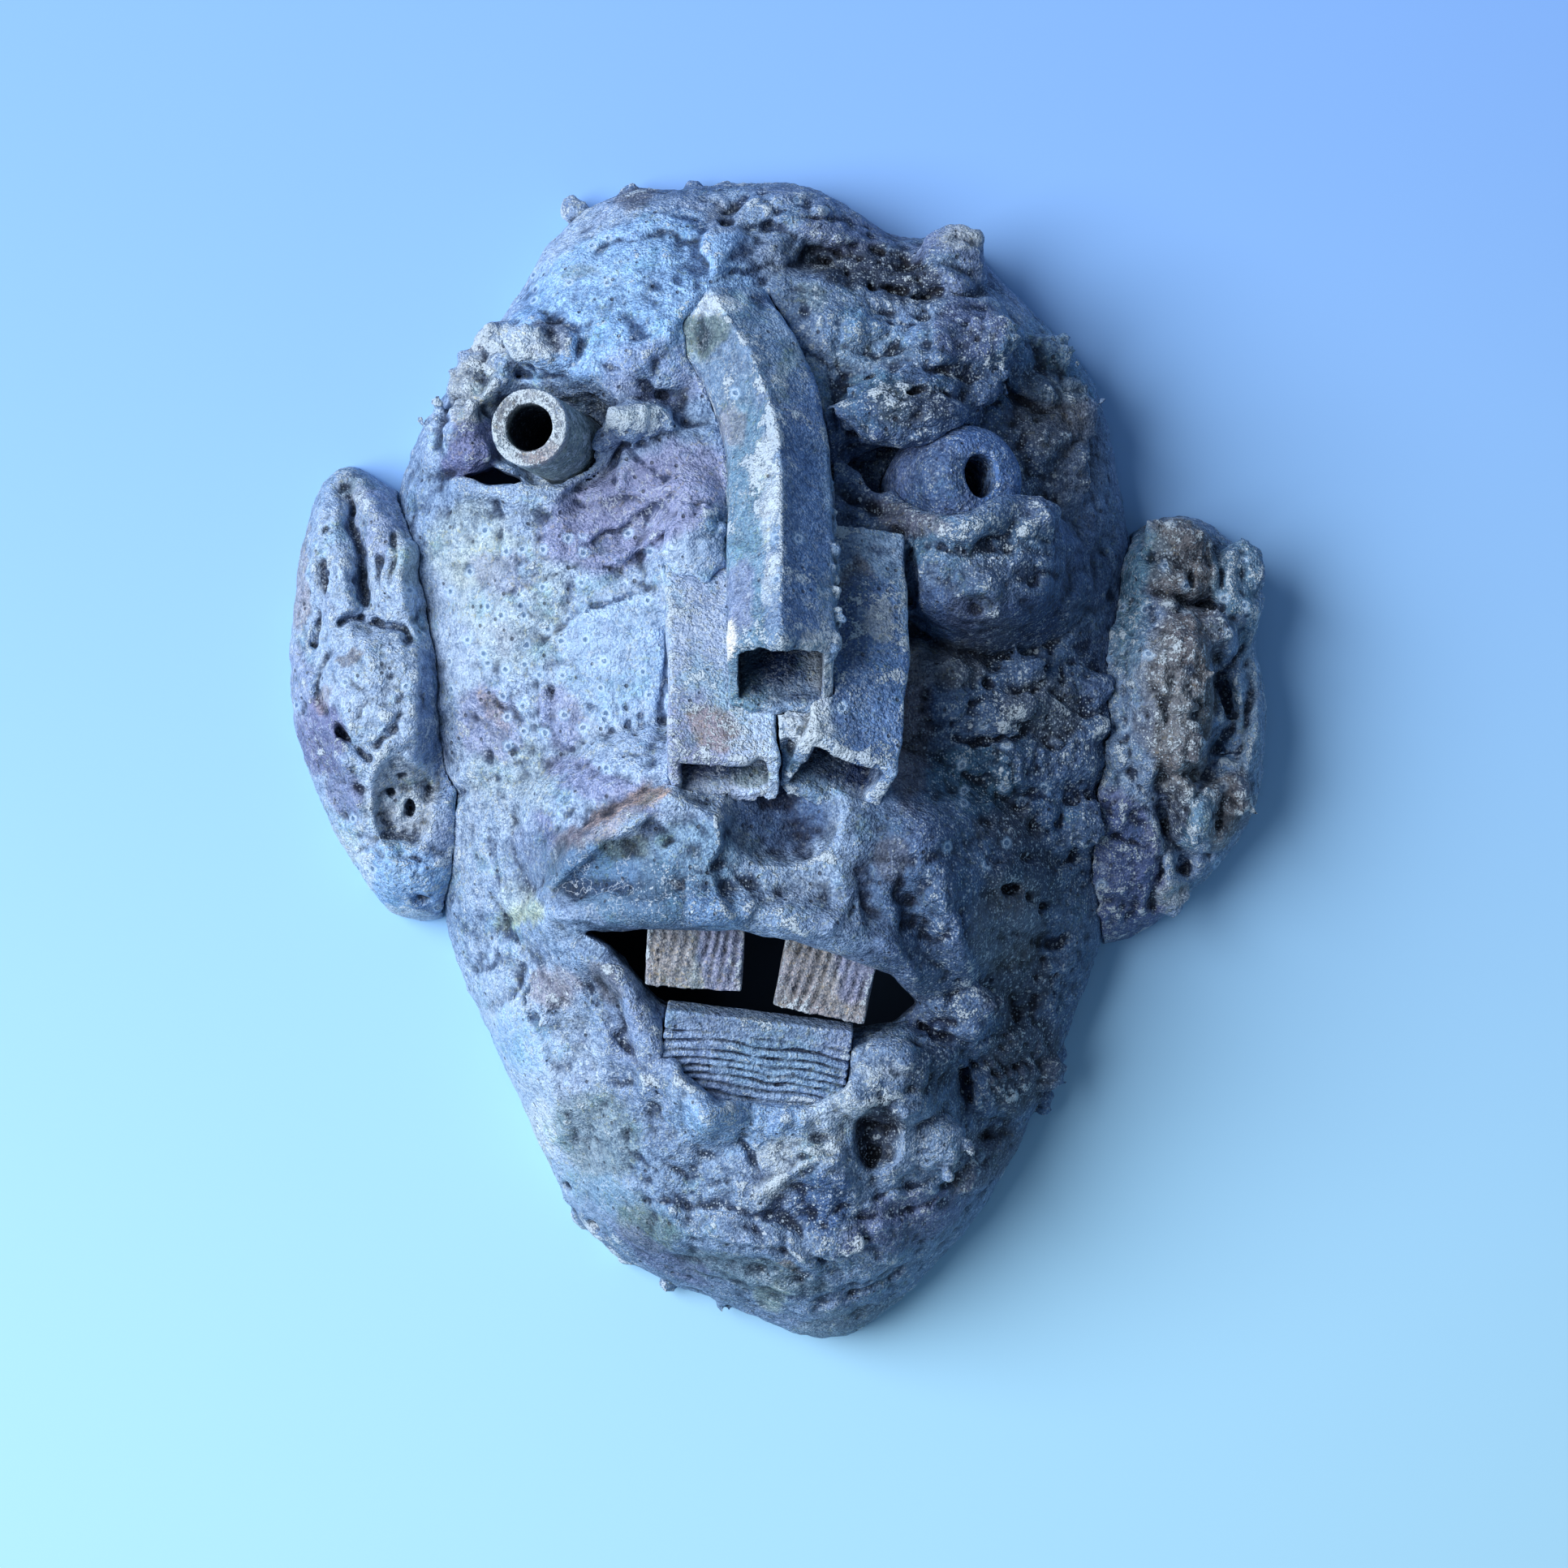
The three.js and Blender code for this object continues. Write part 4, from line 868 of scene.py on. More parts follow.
Slab = namedtuple("Slab", "at width height tilt turn")
TOOTH_THICKNESS = 9
LEFT_TOOTH = Slab((-24.5, -42, 83), 30, 28, 8, -3)
RIGHT_TOOTH = Slab((19, -46, 81), 29, 33, 8, -11)
BLOCK = Slab((-5.5, -80.5, 86), 58, 11, 14, -7)
BLOCK_DEPTH = 27


def tooth(slab, grow=0.0):
    def distance(x, y, z):
        across, along, up = turned_place(slab.at, slab.tilt, slab.turn, x, y, z)
        low = (-slab.width / 2, -slab.height, 0)
        high = (slab.width / 2, 0, TOOTH_THICKNESS)
        away = brick(across, along, up, low, high, 0.8)
        if grow:
            return away - grow
        wavy = across - 0.14 * along + 0.8 * noise(x, y, z, 7, 44)
        pressed = np.clip(0.7 + 0.9 * noise(x, y, 0, 9, 48), 0.15, 1.1)
        ribs = 0.75 * RIB_DEPTH * (0.5 - 0.5 * np.cos(2 * math.pi * wavy / RIB_PITCH)) * pressed
        torn = 1.6 * layered_noise(across, 0, up, 5, 45, 3) + 0.6
        sides = np.abs(across) - slab.width / 2 + 0.9 * np.maximum(layered_noise(0, along, up, 5, 49, 3), 0)
        lower = -along - slab.height + np.maximum(torn, 0)
        return np.maximum(away + ribs * smooth((up - 4) / 3), np.maximum(lower, sides))

    reach = 26
    at = (slab.at[0], slab.at[1] - slab.height / 2, slab.at[2] + 4)
    return Shape([c - reach for c in at], [c + reach for c in at], distance)


def layered_block(grow=0.0):
    def distance(x, y, z):
        across, along, up = turned_place(BLOCK.at, BLOCK.tilt, BLOCK.turn, x, y, z)
        low = (-BLOCK.width / 2, -BLOCK_DEPTH, -BLOCK.height)
        high = (BLOCK.width / 2, 0, 0)
        away = brick(across, along, up, low, high, 0.8)
        if grow:
            return away - grow
        arch = 1.6 * (1 - (across / 29) ** 2)
        bend = along - arch + 0.5 * np.sin(across / 5.3 + 1) + 0.5 * noise(across, along, 0, 6, 46)
        uneven = bend + 0.5 * np.sin(bend / 2.9)
        gaps = (0.5 - 0.5 * np.cos(2 * math.pi * uneven / (0.85 * RIB_PITCH))) ** 3
        broken = 0.75 + 0.5 * noise(across, 3 * along, 0, 5, 47)
        return away + 1.6 * gaps * broken * smooth((up + 6) / 4) * smooth((-5 - along) / 1.5)

    return Shape((-46, -116, 50), (34, -68, 94), distance)


def above_block():
    """The open notch of the lower lip, above the face of the layered block."""
    def distance(x, y, z):
        _, _, up = turned_place(BLOCK.at, BLOCK.tilt, BLOCK.turn, x, y, z)
        plan = outline_distance(LIP_NOTCH, x[:, :, 0], y[:, :, 0])[:, :, None]
        return np.maximum(plan + 0 * z, -1 - up)

    return Shape((-40, -112, 60), (32, -72, 125), distance)


class Clay:
    """A volume of clay, as distances on an even grid that are negative inside."""

    def __init__(self, low, high, pitch):
        self.low = np.array(low, float)
        self.pitch = pitch
        counts = np.ceil((np.array(high) - self.low) / pitch).astype(int) + 1
        self.axes = [self.low[i] + pitch * np.arange(counts[i]) for i in range(3)]
        self.field = np.full(counts, 30, np.float32)

    def plan(self):
        return np.meshgrid(self.axes[0], self.axes[1], indexing="ij")

    def window(self, shape, margin):
        spans = []
        for axis, low, high in zip(self.axes, shape.low, shape.high):
            spans.append(slice(np.searchsorted(axis, low - margin), np.searchsorted(axis, high + margin)))
        near = [axis[span].astype(np.float32) for axis, span in zip(self.axes, spans)]
        places = np.meshgrid(*near, indexing="ij")
        return tuple(spans), places

    def add(self, shape, blend=2.0):
        spans, places = self.window(shape, blend + 2)
        if places[0].size:
            self.field[spans] = least(self.field[spans], shape.distance(*places), blend)

    def cut(self, shape, blend=0.8, keep_under=None):
        spans, places = self.window(shape, blend + 2)
        if not places[0].size:
            return
        away = shape.distance(*places)
        if keep_under is not None:
            away = np.maximum(away, keep_under[spans[:2]][:, :, None] - places[2])
        self.field[spans] = -least(-self.field[spans], away, blend)

    def slope(self, height):
        across, along = np.gradient(height, self.pitch)
        return np.minimum(np.sqrt(1 + across ** 2 + along ** 2), 4)

    def fill_relief(self, height, edge, rounding=5):
        """Clay under a height map and inside an outline, standing on the table."""
        slope = self.slope(height)
        for k, z in enumerate(self.axes[2]):
            layer = -least(-(z - height) / slope, -edge, rounding)
            self.field[:, :, k] = np.maximum(layer, -z)

    def trim_below(self, height, slope=1):
        """Takes away what lies under a height map."""
        for k, z in enumerate(self.axes[2]):
            self.field[:, :, k] = np.maximum(self.field[:, :, k], (height - z) / slope)

    def cut_relief(self, height, edge, grow):
        """Takes away what lies under a height map and inside an outline, and a seam beside them."""
        slope = self.slope(height)
        for k, z in enumerate(self.axes[2]):
            other = np.maximum((z - height) / slope, edge) - grow
            self.field[:, :, k] = np.maximum(self.field[:, :, k], -other)

    def sample(self, grid, points):
        """Values of a grid at points between its own."""
        place = (points - self.low) / self.pitch
        start = np.clip(np.floor(place).astype(int), 0, np.array(grid.shape) - 2)
        part = place - start
        total = 0
        for corner in np.ndindex(2, 2, 2):
            share = 1
            for axis in range(3):
                share = share * (part[:, axis] if corner[axis] else 1 - part[:, axis])
            total = total + share * grid[tuple((start + corner).T)]
        return total

    def normals(self, points):
        gradient = np.zeros(points.shape)
        for axis in range(3):
            step = np.zeros(3)
            step[axis] = self.pitch
            ahead, behind = (self.sample(self.field, points + way * step) for way in (1, -1))
            gradient[:, axis] = ahead - behind
        return gradient / np.maximum(np.linalg.norm(gradient, axis=1)[:, None], 1e-6)

    def hollows(self, points, reach):
        """How far a place lies in a hollow, from about 1, through 0 on flat clay, to -1 on a sharp edge."""
        count = max(1, round(reach / self.pitch))
        mean = np.clip(self.field, -2 * reach, 2 * reach)
        for axis in range(3):
            edge = [(0, 0)] * 3
            edge[axis] = (count + 1, count)
            run = np.cumsum(np.pad(mean, edge, mode="edge"), axis=axis, dtype=np.float64)
            ahead = np.take(run, range(2 * count + 1, run.shape[axis]), axis=axis)
            behind = np.take(run, range(run.shape[axis] - 2 * count - 1), axis=axis)
            mean = ((ahead - behind) / (2 * count + 1)).astype(np.float32)
        return -3.2 * self.sample(mean, points) / reach

    def skin(self):
        """The surface of the clay, as points and four-cornered faces."""
        inside = self.field < 0
        size = np.array(inside.shape) - 1
        filled = np.zeros(size, np.uint8)
        for corner in np.ndindex(2, 2, 2):
            filled += inside[tuple(slice(corner[i], corner[i] + size[i]) for i in range(3))]
        active = (filled > 0) & (filled < 8)
        cells = np.argwhere(active)
        number = np.full(size, -1, np.int32)
        number[active] = np.arange(len(cells))
        total = np.zeros((len(cells), 3))
        crossings = np.zeros(len(cells))
        for axis in range(3):
            others = [i for i in range(3) if i != axis]
            for corner in np.ndindex(2, 2):
                start = cells.copy()
                start[:, others] += corner
                end = start.copy()
                end[:, axis] += 1
                near, far = self.field[tuple(start.T)], self.field[tuple(end.T)]
                crosses = (near < 0) != (far < 0)
                gap = np.where(crosses, near - far, 1)
                place = start.astype(float)
                place[:, axis] += near / gap
                total[crosses] += place[crosses]
                crossings += crosses
        points = self.low + self.pitch * total / crossings[:, None]
        return points, np.vstack([self.faces(inside, number, axis) for axis in range(3)])

    def faces(self, inside, number, axis):
        """A face across each step of one axis that goes through the surface."""
        u, v = (axis + 1) % 3, (axis + 2) % 3
        near = [slice(None)] * 3
        far = [slice(None)] * 3
        near[axis], far[axis] = slice(0, -1), slice(1, None)
        start = inside[tuple(near)]
        edges = np.argwhere(start != inside[tuple(far)])
        sides = np.array(number.shape)
        for way in (u, v):
            edges = edges[(edges[:, way] > 0) & (edges[:, way] < sides[way])]
        ring = []
        for back_u, back_v in ((1, 1), (0, 1), (0, 0), (1, 0)):
            cell = edges.copy()
            cell[:, u] -= back_u
            cell[:, v] -= back_v
            ring.append(number[tuple(cell.T)])
        ring = np.stack(ring, 1)
        outward = start[tuple(edges.T)]
        return np.where(outward[:, None], ring, ring[:, ::-1])


def make_mesh(name, points, faces):
    mesh = bpy.data.meshes.new(name)
    mesh.vertices.add(len(points))
    mesh.vertices.foreach_set("co", (points * MM).astype(np.float32).ravel())
    mesh.loops.add(faces.size)
    mesh.loops.foreach_set("vertex_index", faces.astype(np.int32).ravel())
    mesh.polygons.add(len(faces))
    mesh.polygons.foreach_set("loop_start", np.arange(0, faces.size, faces.shape[1], dtype=np.int32))
    mesh.update(calc_edges=True)
    mesh.validate()
    return mesh


def mesh_points(mesh):
    points = np.zeros(3 * len(mesh.vertices), np.float32)
    mesh.vertices.foreach_get("co", points)
    return points.reshape(-1, 3).astype(float) / MM


def thinned(mesh, name, triangles):
    """The mesh with fewer triangles where it is flat."""
    count = sum(len(face.vertices) - 2 for face in mesh.polygons)
    piece = bpy.data.objects.new(name, mesh)
    bpy.context.scene.collection.objects.link(piece)
    if count > triangles:
        thin = piece.modifiers.new("thin", "DECIMATE")
        thin.ratio = triangles / count
        evaluated = piece.evaluated_get(bpy.context.evaluated_depsgraph_get())
        piece.data = bpy.data.meshes.new_from_object(evaluated)
        piece.modifiers.clear()
    piece.data.name = name
    piece.data.shade_smooth()
    return piece


def relief(mesh, rounds):
    """How far each point stands out of its neighbours, as a share of what is usual on the piece."""
    points = mesh_points(mesh)
    ends = np.zeros(2 * len(mesh.edges), np.int32)
    mesh.edges.foreach_get("vertices", ends)
    first, second = ends.reshape(-1, 2).T
    shared = np.bincount(first, minlength=len(points)) + np.bincount(second, minlength=len(points))

    def neighbours(start, end):
        return np.stack([np.bincount(start, flat[end, i], len(points)) for i in range(3)], 1)

    flat = points
    for _ in range(rounds):
        flat = 0.4 * flat + 0.6 * (neighbours(first, second) + neighbours(second, first)) / shared[:, None]
    normals = np.zeros(3 * len(points), np.float32)
    mesh.vertex_normals.foreach_get("vector", normals)
    proud = ((points - flat) * normals.reshape(-1, 3)).sum(1)
    return np.clip(proud / (2 * proud.std()), -1, 1)


def model(name, material, clay, grit, paint, triangles):
    """Turns a volume of clay into a piece: its skin, roughened by grit, and then painted with its stains,
    with painted shade in its creases and painted highlight on its ridges.
    """
    points, faces = clay.skin()
    points = points + clay.normals(points) * grit(points)[:, None]
    points[:, 2] = np.maximum(points[:, 2], 0)
    piece = thinned(make_mesh(name, points, faces), name, triangles)
    points = mesh_points(piece.data)
    hollow = 0.6 * clay.hollows(points, SMALL_HOLLOW) + 0.4 * clay.hollows(points, WIDE_HOLLOW)
    coat = paint(points, hollow)
    proud = 0.5 * relief(piece.data, FINE_ROUNDS) + 0.6 * relief(piece.data, COARSE_ROUNDS)
    proud = proud * (1 - 0.4 * coat.calm)
    # Ridges painted paler and creases darker: partly the clay's own wear and glaze, partly painted highlight
    # and painted shade.
    wear_and_relief_shade = 1 + np.where(proud > 0, PALE_RIDGES, DARK_CREASES) * proud
    crust = np.clip(coat.crust + SALTED_RIDGES * np.maximum(proud - 0.2, 0) * (coat.crust > 0), 0, 1)
    keep_attribute(piece.data, "stain", coat.stain * np.clip(wear_and_relief_shade, 0.3, 1.6)[:, None])
    keep_attribute(piece.data, "crust", np.stack([crust, hollow, coat.fresh], 1))
    keep_attribute(piece.data, "zones", np.stack([coat.rings, coat.frost, coat.calm], 1))
    piece.data.materials.append(material)
    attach(piece, "root")
    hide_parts(name)


def keep_attribute(mesh, name, colours):
    layer = mesh.color_attributes.new(name, "FLOAT_COLOR", "POINT")
    values = np.ones((len(colours), 4), np.float32)
    values[:, :3] = colours
    layer.data.foreach_set("color", values.ravel())


# How wide the hollows are that darken the clay, partly by their own glaze and partly as painted shade, and
# how often the skin is smoothed to find its ridges.
SMALL_HOLLOW = 2.5
WIDE_HOLLOW = 6
FINE_ROUNDS = 3
COARSE_ROUNDS = 14
# How much paler the ridges are, partly as wear and partly as painted highlight, how much darker the creases,
# partly as their own glaze and partly as painted shade, and how much salt lies on the ridges.
PALE_RIDGES = 0.34
DARK_CREASES = 0.7
SALTED_RIDGES = 0.2
# Stains of the fired clay, as linear colours; the dark ones are also laid as painted shade in some hollows
# and on sides away from the lamp.
BLUE_GREY = (0.27, 0.40, 0.60)
SLATE = (0.19, 0.31, 0.48)
PALE_BLUE = (0.42, 0.56, 0.77)
SKY = (0.34, 0.58, 0.92)
DEEP_BLUE = (0.08, 0.17, 0.38)
PURPLE = (0.19, 0.21, 0.40)
MAUVE = (0.30, 0.34, 0.56)
TEAL = (0.17, 0.36, 0.50)
OLIVE = (0.20, 0.28, 0.27)
LIME = (0.54, 0.64, 0.52)
BROWN = (0.16, 0.14, 0.15)
TAN = (0.33, 0.31, 0.28)
RUST = (0.36, 0.29, 0.30)
ORANGE = (0.50, 0.38, 0.34)
CREAM = (0.54, 0.60, 0.64)
WHITE = (0.66, 0.78, 0.90)
CHAR = (0.05, 0.07, 0.12)
BUFF = (0.40, 0.38, 0.38)

FACE_STAINS_AND_SHADE = [
    Stain(PALE_BLUE, (-70, 20), (56, 80), 1),
    Stain(LIME, (-84, 50), (20, 26), 0.25, 20),
    Stain(LIME, (-84, -8), (16, 20), 0.25),
    Stain(SKY, (-48, 30), (20, 24), 0.35),
    Stain(PALE_BLUE, (-52, 150), (56, 40), 1, 20),
    Stain(SKY, (-46, 146), (46, 30), 0.9, 20),
    Stain(PALE_BLUE, (-82, -96), (30, 50), 1, 20),
    Stain(SKY, (-52, 138), (20, 14), 0.6),
    Stain(MAUVE, (-35, 122), (22, 10), 0.5),
    Stain(MAUVE, (-45, 78), (36, 18), 0.9, 20),
    Stain(PURPLE, (-50, 80), (22, 8), 0.35, 28),
    Stain(PURPLE, (-98, 102), (11, 14), 0.9),
    Stain(BROWN, (-94, 137), (10, 7), 0.6),
    Stain(BROWN, (-72, 134), (8, 7), 0.7),
    Stain(CREAM, (-97, 118), (10, 12), 0.8),
    Stain(WHITE, (-82, 132), (12, 7), 0.9, -20),
    Stain(PALE_BLUE, (-108, 106), (7, 12), 0.8),
    Stain(MAUVE, (-98, 145), (14, 6), 0.7, 50),
    # Painted shade round the left eye tube.
    Stain(CHAR, (-66, 110), (18, 13), 0.6),
    Stain(WHITE, (-45, 106), (11, 5), 0.8, 5),
    Stain(LIME, (-98, 68), (16, 16), 0.3),
    Stain(MAUVE, (-86, 60), (12, 8), 0.5),
    Stain(MAUVE, (-92, 12), (12, 14), 0.7, 40),
    Stain(RUST, (-90, 16), (9, 4), 0.5, -40),
    Stain(MAUVE, (-68, 14), (7, 12), 0.7, 20),
    Stain(MAUVE, (-55, -8), (22, 6), 0.8, -25),
    Stain(ORANGE, (-46, -15), (17, 2.6), 1.0, 28),
    Stain(RUST, (-52, -20), (20, 5), 0.6, 32),
    Stain(RUST, (-66, -28), (10, 5), 0.7, 40),
    Stain(MAUVE, (-76, -26), (12, 7), 0.9, 50),
    Stain(LIME, (-82, -46), (9, 7), 0.9),
    Stain(TEAL, (-50, -38), (28, 12), 0.5, -15),
    Stain(SKY, (-54, -34), (14, 8), 0.5, -15),
    Stain(OLIVE, (-45, -27), (9, 4), 0.8),
    Stain(OLIVE, (-33, -26), (4, 3), 0.8),
    Stain(TEAL, (-25, -28), (14, 12), 0.4),
    Stain(SKY, (-18, -44), (10, 9), 0.6),
    # Painted shade in the philtrum.
    Stain(DEEP_BLUE, (2, -17), (15, 12), 0.6),
    Stain(PALE_BLUE, (14, -34), (14, 10), 0.5),
    Stain(PALE_BLUE, (-90, -30), (22, 20), 0.7),
    Stain(RUST, (-70, -70), (9, 6), 0.5),
    Stain(BROWN, (-54, -68), (5, 9), 0.6, 25),
    Stain(PALE_BLUE, (-86, -98), (18, 24), 0.9, 20),
    Stain(SKY, (-82, -90), (12, 14), 0.5, 20),
    Stain(OLIVE, (-58, -118), (16, 16), 0.5, 30),
    Stain(WHITE, (-80, -122), (8, 16), 0.9, -30),
    Stain(TEAL, (-50, -140), (24, 8), 0.4, -20),
    Stain(OLIVE, (-42, -150), (10, 10), 0.7),
    Stain(OLIVE, (-8, -163), (28, 7), 0.5, -12),
    Stain(PURPLE, (-38, -160), (20, 6), 0.5, -28),
    Stain(SKY, (-6, -112), (30, 12), 0.5),
    Stain(WHITE, (6, -121), (15, 5), 0.8, 10),
    Stain(WHITE, (-2, -132), (9, 5), 0.7, 50),
    Stain(DEEP_BLUE, (14, -138), (10, 12), 0.8),
    Stain(PURPLE, (40, -146), (24, 10), 0.6, 15),
    Stain(LIME, (-2, -172), (6, 7), 0.6),
    Stain(RUST, (4, -160), (4, 2.5), 0.7),
    Stain(OLIVE, (26, -182), (24, 8), 0.4, 10),
    # Painted shade in the thumb hole.
    Stain(CHAR, (31, -116), (8, 13), 0.9),
    Stain(WHITE, (18, -110), (12, 9), 0.6, 30),
    Stain(WHITE, (33, -95), (9, 3), 0.8),
    Stain(CHAR, (47, -98), (9, 10), 0.5),
    Stain(BROWN, (78, -96), (16, 18), 0.6),
    Stain(BROWN, (66, -127), (16, 10), 0.5, 30),
    Stain(BROWN, (76, -70), (14, 14), 0.6),
    Stain(CHAR, (78, -38), (14, 12), 0.6),
    Stain(BROWN, (72, -20), (14, 9), 0.6),
    Stain(RUST, (34, -30), (6, 8), 0.5),
    Stain(RUST, (40, 12), (9, 30), 0.7),
    Stain(BUFF, (50, 30), (16, 9), 0.7),
    Stain(BUFF, (84, 16), (14, 12), 0.6),
    Stain(TEAL, (60, -6), (16, 12), 0.8),
    Stain(SKY, (88, -14), (9, 10), 0.5),
    Stain(BUFF, (72, -52), (14, 16), 0.6),
    Stain(TEAL, (60, 66), (26, 8), 0.8),
    Stain(TEAL, (30, 112), (14, 10), 0.7),
    Stain(BUFF, (88, 112), (14, 18), 0.6),
    Stain(SKY, (30, 134), (16, 10), 0.5),
    # This and the dark blue at (80, 44) are painted shade under the right cheek.
    Stain(DEEP_BLUE, (52, 46), (12, 10), 0.6),
    Stain(BROWN, (66, 48), (16, 18), 0.4),
    Stain(DEEP_BLUE, (80, 44), (12, 8), 0.6),
    Stain(BLUE_GREY, (66, 62), (24, 14), 0.6),
    Stain(RUST, (40, 74), (14, 4), 0.6, -25),
    Stain(BROWN, (42, 110), (16, 8), 0.5),
    Stain(BROWN, (88, 100), (20, 24), 0.4),
    Stain(TEAL, (92, 130), (18, 18), 0.4),
    Stain(PURPLE, (60, 135), (13, 13), 0.6),
    Stain(PURPLE, (56, 158), (13, 13), 0.4),
    Stain(CHAR, (28, 158), (22, 9), 0.9, -8),
    Stain(CHAR, (44, 150), (10, 7), 0.8),
    Stain(OLIVE, (12, 146), (8, 5), 0.5),
    Stain(BROWN, (0, 158), (14, 7), 0.3),
    Stain(BROWN, (-18, 172), (8, 7), 0.5, 40),
    Stain(DEEP_BLUE, (-38, 186), (30, 7), 0.5),
    Stain(BROWN, (-46, 183), (8, 5), 0.6),
    Stain(MAUVE, (24, 170), (20, 7), 0.5),
    Stain(CREAM, (60, 167), (8, 6), 0.7),
    Stain(OLIVE, (30, 128), (16, 6), 0.3),
    Stain(DEEP_BLUE, (22, 105), (12, 12), 0.5),
    Stain(SKY, (-8, 176), (12, 8), 0.3),
    Stain(OLIVE, (-62, 157), (8, 3), 0.5),
]
LEFT_EAR_STAINS_AND_SHADE = [
    Stain(PALE_BLUE, (-130, 30), (36, 70), 0.9),
    Stain(PURPLE, (-147, 8), (11, 14), 0.9),
    Stain(PURPLE, (-140, -10), (8, 10), 0.7, 30),
    Stain(MAUVE, (-155, 25), (6, 16), 0.5),
    Stain(BROWN, (-135, 33), (5, 3), 0.7),
    Stain(RUST, (-144, 20), (4, 6), 0.5),
    Stain(RUST, (-155, 60), (4, 20), 0.5),
    Stain(MAUVE, (-126, 78), (12, 14), 0.4),
    Stain(BROWN, (-138, 88), (6, 6), 0.4),
    Stain(CHAR, (-146, 60), (3, 8), 0.5),
    Stain(BROWN, (-120, -13), (10, 14), 0.5),
    Stain(WHITE, (-121, -12), (12, 16), 0.4),
    Stain(SKY, (-124, -38), (20, 12), 0.8),
    Stain(DEEP_BLUE, (-115, -45), (4, 4), 0.7),
    # Painted shade on the side wall where the ear steps down to the face.
    Stain(DEEP_BLUE, (-108, 12), (5, 30), 0.6),
    Stain(LIME, (-115, 66), (12, 10), 0.3),
    Stain(WHITE, (-139, -32), (7, 14), 0.8, 40),
    Stain(WHITE, (-122, -51), (12, 4), 0.8),
]
RIGHT_EAR_STAINS = [
    Stain(TAN, (128, 66), (15, 15), 0.8), Stain(TAN, (128, 18), (12, 36), 0.8),
    Stain(TEAL, (112, 60), (6, 24), 0.6), Stain(TEAL, (153, 20), (6, 40), 0.6),
    Stain(TAN, (142, -16), (9, 14), 0.7),
    Stain(TEAL, (114, 66), (12, 12), 0.7),
    Stain(TEAL, (112, 46), (8, 20), 0.5),
    Stain(BROWN, (130, 62), (14, 18), 0.6),
    Stain(BROWN, (134, 40), (12, 12), 0.6),
    Stain(BROWN, (126, 14), (14, 22), 0.6),
    Stain(CREAM, (124, 18), (9, 20), 0.2, 20),
    Stain(TEAL, (146, 60), (10, 12), 0.6),
    Stain(PALE_BLUE, (153, 10), (7, 36), 0.5),
    Stain(SKY, (142, 4), (6, 9), 0.5),
    Stain(BROWN, (146, -14), (10, 12), 0.6),
    Stain(PURPLE, (110, -36), (16, 28), 1.0, 20),
    Stain(DEEP_BLUE, (110, -36), (14, 26), 0.55, 20),
    Stain(CHAR, (126, -18), (4, 12), 0.8),
    Stain(TEAL, (133, -18), (5, 10), 0.5),
    Stain(CREAM, (128, -44), (7, 6), 0.6),
    Stain(CHAR, (133, 5), (4, 6), 0.4),
]

# Where the surface is crumbly, and where it was smoothed.
FACE_CRUMBS = [
    Zone((84, -4), (36, 46), 1), Zone((74, -80), (32, 42), 1), Zone((28, 157), (26, 12), 1, -8),
    Zone((0, 186), (70, 10), 1), Zone((-86, 130), (18, 14), 0.8), Zone((90, 100), (26, 36), 0.9),
    Zone((-10, -130), (60, 22), 0.6), Zone((46, -96), (24, 18), 0.7), Zone((84, 60), (24, 20), 0.7),
    Zone((64, 60), (24, 20), 0.5), Zone((-30, -100), (20, 20), 0.3), Zone((44, 132), (44, 22), 0.8),
    Zone((42, 108), (24, 14), 1), Zone((-100, -20), (14, 20), 0.4), Zone((30, -160), (44, 24), 0.7),
    Zone((66, -125), (18, 14), 1, 30), Zone((-76, -126), (8, 22), 0.7, -30), Zone((64, 20), (24, 20), 0.6),
    Zone((52, -48), (24, 34), 0.6, 10), Zone((26, 172), (30, 14), 0.9, -14), Zone((-44, 106), (14, 8), 0.8),
]
FACE_SMOOTH = [
    Zone((-26, 40), (12, 42), 1), Zone((-50, 30), (24, 28), 0.8), Zone((-52, -38), (28, 13), 0.9, -15),
    Zone((-84, -96), (17, 30), 0.9, 20), Zone((-40, 84), (28, 16), 0.8, 10),
    Zone((-98, 146), (15, 9), 0.9, 50), Zone((-60, -135), (26, 14), 0.7, -40),
    Zone((45, -118), (14, 12), 0.8), Zone((-62, 160), (18, 16), 0.5), Zone((-100, 45), (20, 30), 0.5),
    Zone((38, 20), (7, 30), 0.6),
]
# Where small pits with pale rings lie, and where the salt stands as a bright frost.
FACE_RINGS = [
    Zone((-64, 38), (44, 44), 1), Zone((-64, 160), (22, 20), 0.8, 20), Zone((-50, 8), (30, 16), 0.7),
    Zone((-96, 60), (18, 26), 0.5), Zone((64, -10), (24, 30), 0.5), Zone((-16, 116), (20, 40), 0.4),
]
FACE_FROST = [
    Zone((80, -10), (46, 60), 0.8), Zone((40, 136), (56, 34), 0.7), Zone((-20, -96), (50, 28), 0.8),
    Zone((14, -128), (60, 34), 0.8), Zone((-18, -42), (34, 16), 0.7), Zone((50, 90), (44, 30), 0.7),
    Zone((64, -84), (40, 44), 0.6), Zone((-72, -88), (26, 40), 0.7, 20), Zone((-10, 180), (70, 16), 0.5),
    Zone((-44, 130), (40, 24), 0.4), Zone((-96, -30), (24, 40), 0.6), Zone((30, -170), (50, 24), 0.5),
    Zone((64, 66), (26, 16), 0.8),
]
